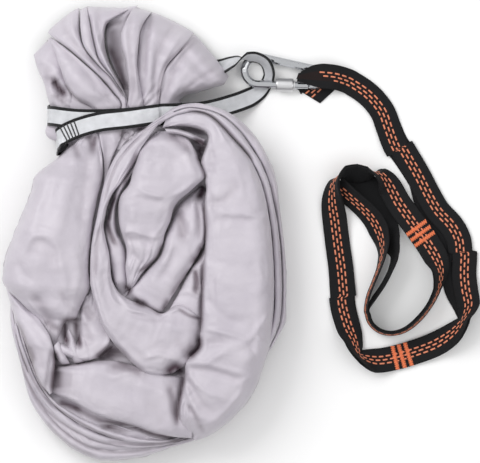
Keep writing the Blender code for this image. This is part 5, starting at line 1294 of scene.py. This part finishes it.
BLACK = (0.0062, 0.0063, 0.0075)
SELVEDGE = (0.006, 0.006, 0.007)
lined_web = woven("lined_webbing", BLACK, SELVEDGE, 0.0142, 0.78, 4200.0, 0.02,
                  middle=(0.013, 0.0062, 0.006))
plain_web = woven("plain_webbing", BLACK, SELVEDGE, 0.0142, 0.78, 4200.0, 0.02)
for name, runs, node, paint in (
        ("lined_strap", (lined_frames, flap_frames), "lined_loop_strap", lined_web),
        ("plain_strap", (plain_frames,), "plain_load_strap", plain_web)):
    shape = bmesh.new()
    for frames in runs:
        sweep(shape, frames, full=STRAP_WIDTH)
    made = finished(name, shape, paint)
    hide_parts(node)
    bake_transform(made)


# Stitches of the lined webbing: three rows of salmon dashes, laid like bricks.

ROW_GAP = 0.0045
DASH_PITCH = 0.0094
DASH_HALF_LENGTH = 0.0031
DASH_HALF_WIDTH = 0.0010


def dash(shape, frames, reaches, distance, aside_by):
    """One raised stitch on the upper face of a webbing."""
    rows = []
    for end in (-1.0, -0.7, 0.0, 0.7, 1.0):
        goal = distance + end * DASH_HALF_LENGTH
        at = min(max(int(np.searchsorted(reaches, goal)) - 1, 0), len(frames) - 2)
        t = (goal - reaches[at]) / max(reaches[at + 1] - reaches[at], 1e-9)
        place, forward, across, normal = between(frames[at], frames[at + 1], t)
        crown = 0.00055 * math.sqrt(max(0.0, 1 - (end * 0.97) ** 2)) + 0.00008
        row = []
        for turn in (0.0, 0.7, 1.57, 2.44, 3.14):
            aside = aside_by + DASH_HALF_WIDTH * math.cos(turn)
            lift = 0.0007 + crown * (0.2 + 0.8 * math.sin(turn))
            row.append(shape.verts.new(place + across * aside + normal * lift))
        rows.append(row)
    skinned(shape, rows)


def faces_up(x, y):
    """Whether the lined side is on top at a plan place: round the carabiner it
    is turned over as far as a slanting line."""
    return x > 345 or y > 110 or (y - 66) < (x - 309) * 0.6


shape = bmesh.new()
for frames, first in ((lined_frames, 0.056), (flap_frames, 0.004)):
    gaps = [(b[0] - a[0]).length for a, b in zip(frames, frames[1:])]
    reaches = np.concatenate([[0.0], np.cumsum(gaps)])
    for row in (-1, 0, 1):
        distance = first + (DASH_PITCH / 2 if row == 0 else 0.0)
        while distance < reaches[-1] - 0.004:
            at = int(np.searchsorted(reaches, distance))
            spot = frames[at][0] + frames[at][2] * row * ROW_GAP
            if frames is flap_frames or faces_up(*on_plan(spot.x, spot.y)):
                dash(shape, frames, reaches, distance, row * ROW_GAP)
            distance += DASH_PITCH
stitches = finished("lining_stitches", shape, salmon_thread)
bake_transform(stitches)

for where, spot in (("side", plan(421.0, 233.5, 0.010)), ("base", plan(402.0, 356.0, 0.003))):
    at = nearest(lined_frames, spot)
    for i in range(3):
        shape = bmesh.new()
        bar_of_threads(shape, frame_along(lined_frames, at, (i - 1) * 0.0086),
                       length=0.0300, width=0.0050, height=0.0012, pitch=0.0013, lift=0.0008)
        made = finished("%s_bar_threads_%d" % (where, i + 1), shape, orange_thread)
        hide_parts("%s_bar_tack_%d" % (where, i + 1))
        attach(made, "strap")

shape = bmesh.new()
for length, spots in ((0.0062, ((455.5, 261.0), (455.5, 266.8), (455.5, 272.6))),
                      (0.0030, ((331.6, 273.5), (331.4, 281.0)))):
    for spot in spots:
        at = nearest(plain_frames, plan(*spot, 0.001))
        place, forward, across, normal = frame_along(plain_frames, at, 0.0)
        offset = (plan(*spot, 0.001) - place).dot(across)
        bar_of_threads(shape, (place + across * offset, forward, across, normal),
                       length=length, width=0.0022, height=0.0005, pitch=0.0008, lift=0.0008)
ends = finished("hidden_bar_ends", shape, wine_thread)
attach(ends, "strap")


# Steel. Polished rod for the carabiner and its gate, brushed steel for the
# sleeve, with fine scratches and a little dullness where hands rub it.

def steel(name, colour, roughness, scratch):
    """Steel with scratches drawn out along the rod and worn patches."""
    made, tree, shader = surface(name, colour, roughness, 1.0)
    place = grown(tree, "ShaderNodeTexCoord").outputs["Object"]
    drawn = grown(tree, "ShaderNodeMapping", Rotation=(0, 0, 0.12), Scale=(1.0, 14.0, 14.0))
    tree.links.new(place, drawn.inputs["Vector"])
    grain = cloud(tree, drawn.outputs["Vector"], Scale=260.0, Detail=5.0)
    worn = cloud(tree, place, Scale=70.0, Detail=3.0)
    rough = grown(tree, "ShaderNodeMapRange")
    rough.inputs["To Min"].default_value = roughness * 0.6
    rough.inputs["To Max"].default_value = roughness * 1.6
    tree.links.new(worn, rough.inputs["Value"])
    tree.links.new(rough.outputs["Result"], shader.inputs["Roughness"])
    tree.links.new(bumped(tree, grain, scratch, 0.0002), shader.inputs["Normal"])
    return made


polished = steel("polished_steel", (0.50, 0.51, 0.53), 0.13, 0.06)
brushed = steel("brushed_steel", (0.66, 0.66, 0.67), 0.34, 0.22)
spring_wire = steel("spring_wire", (0.40, 0.41, 0.43), 0.28, 0.05)
for names, paint, slot in (
        (("carabiner_body", "gate", "gate_hinge_pin", "gate_latch_pin", "gate_plunger"),
         polished, "bright_steel"),
        (("lock_sleeve", "sleeve_stop_ring"), brushed, "satin_steel"),
        (("gate_spring",), spring_wire, "bright_steel")):
    for name in names:
        node = frame["nodes"][name]
        node.data.materials.clear()
        node.data.materials.append(paint)
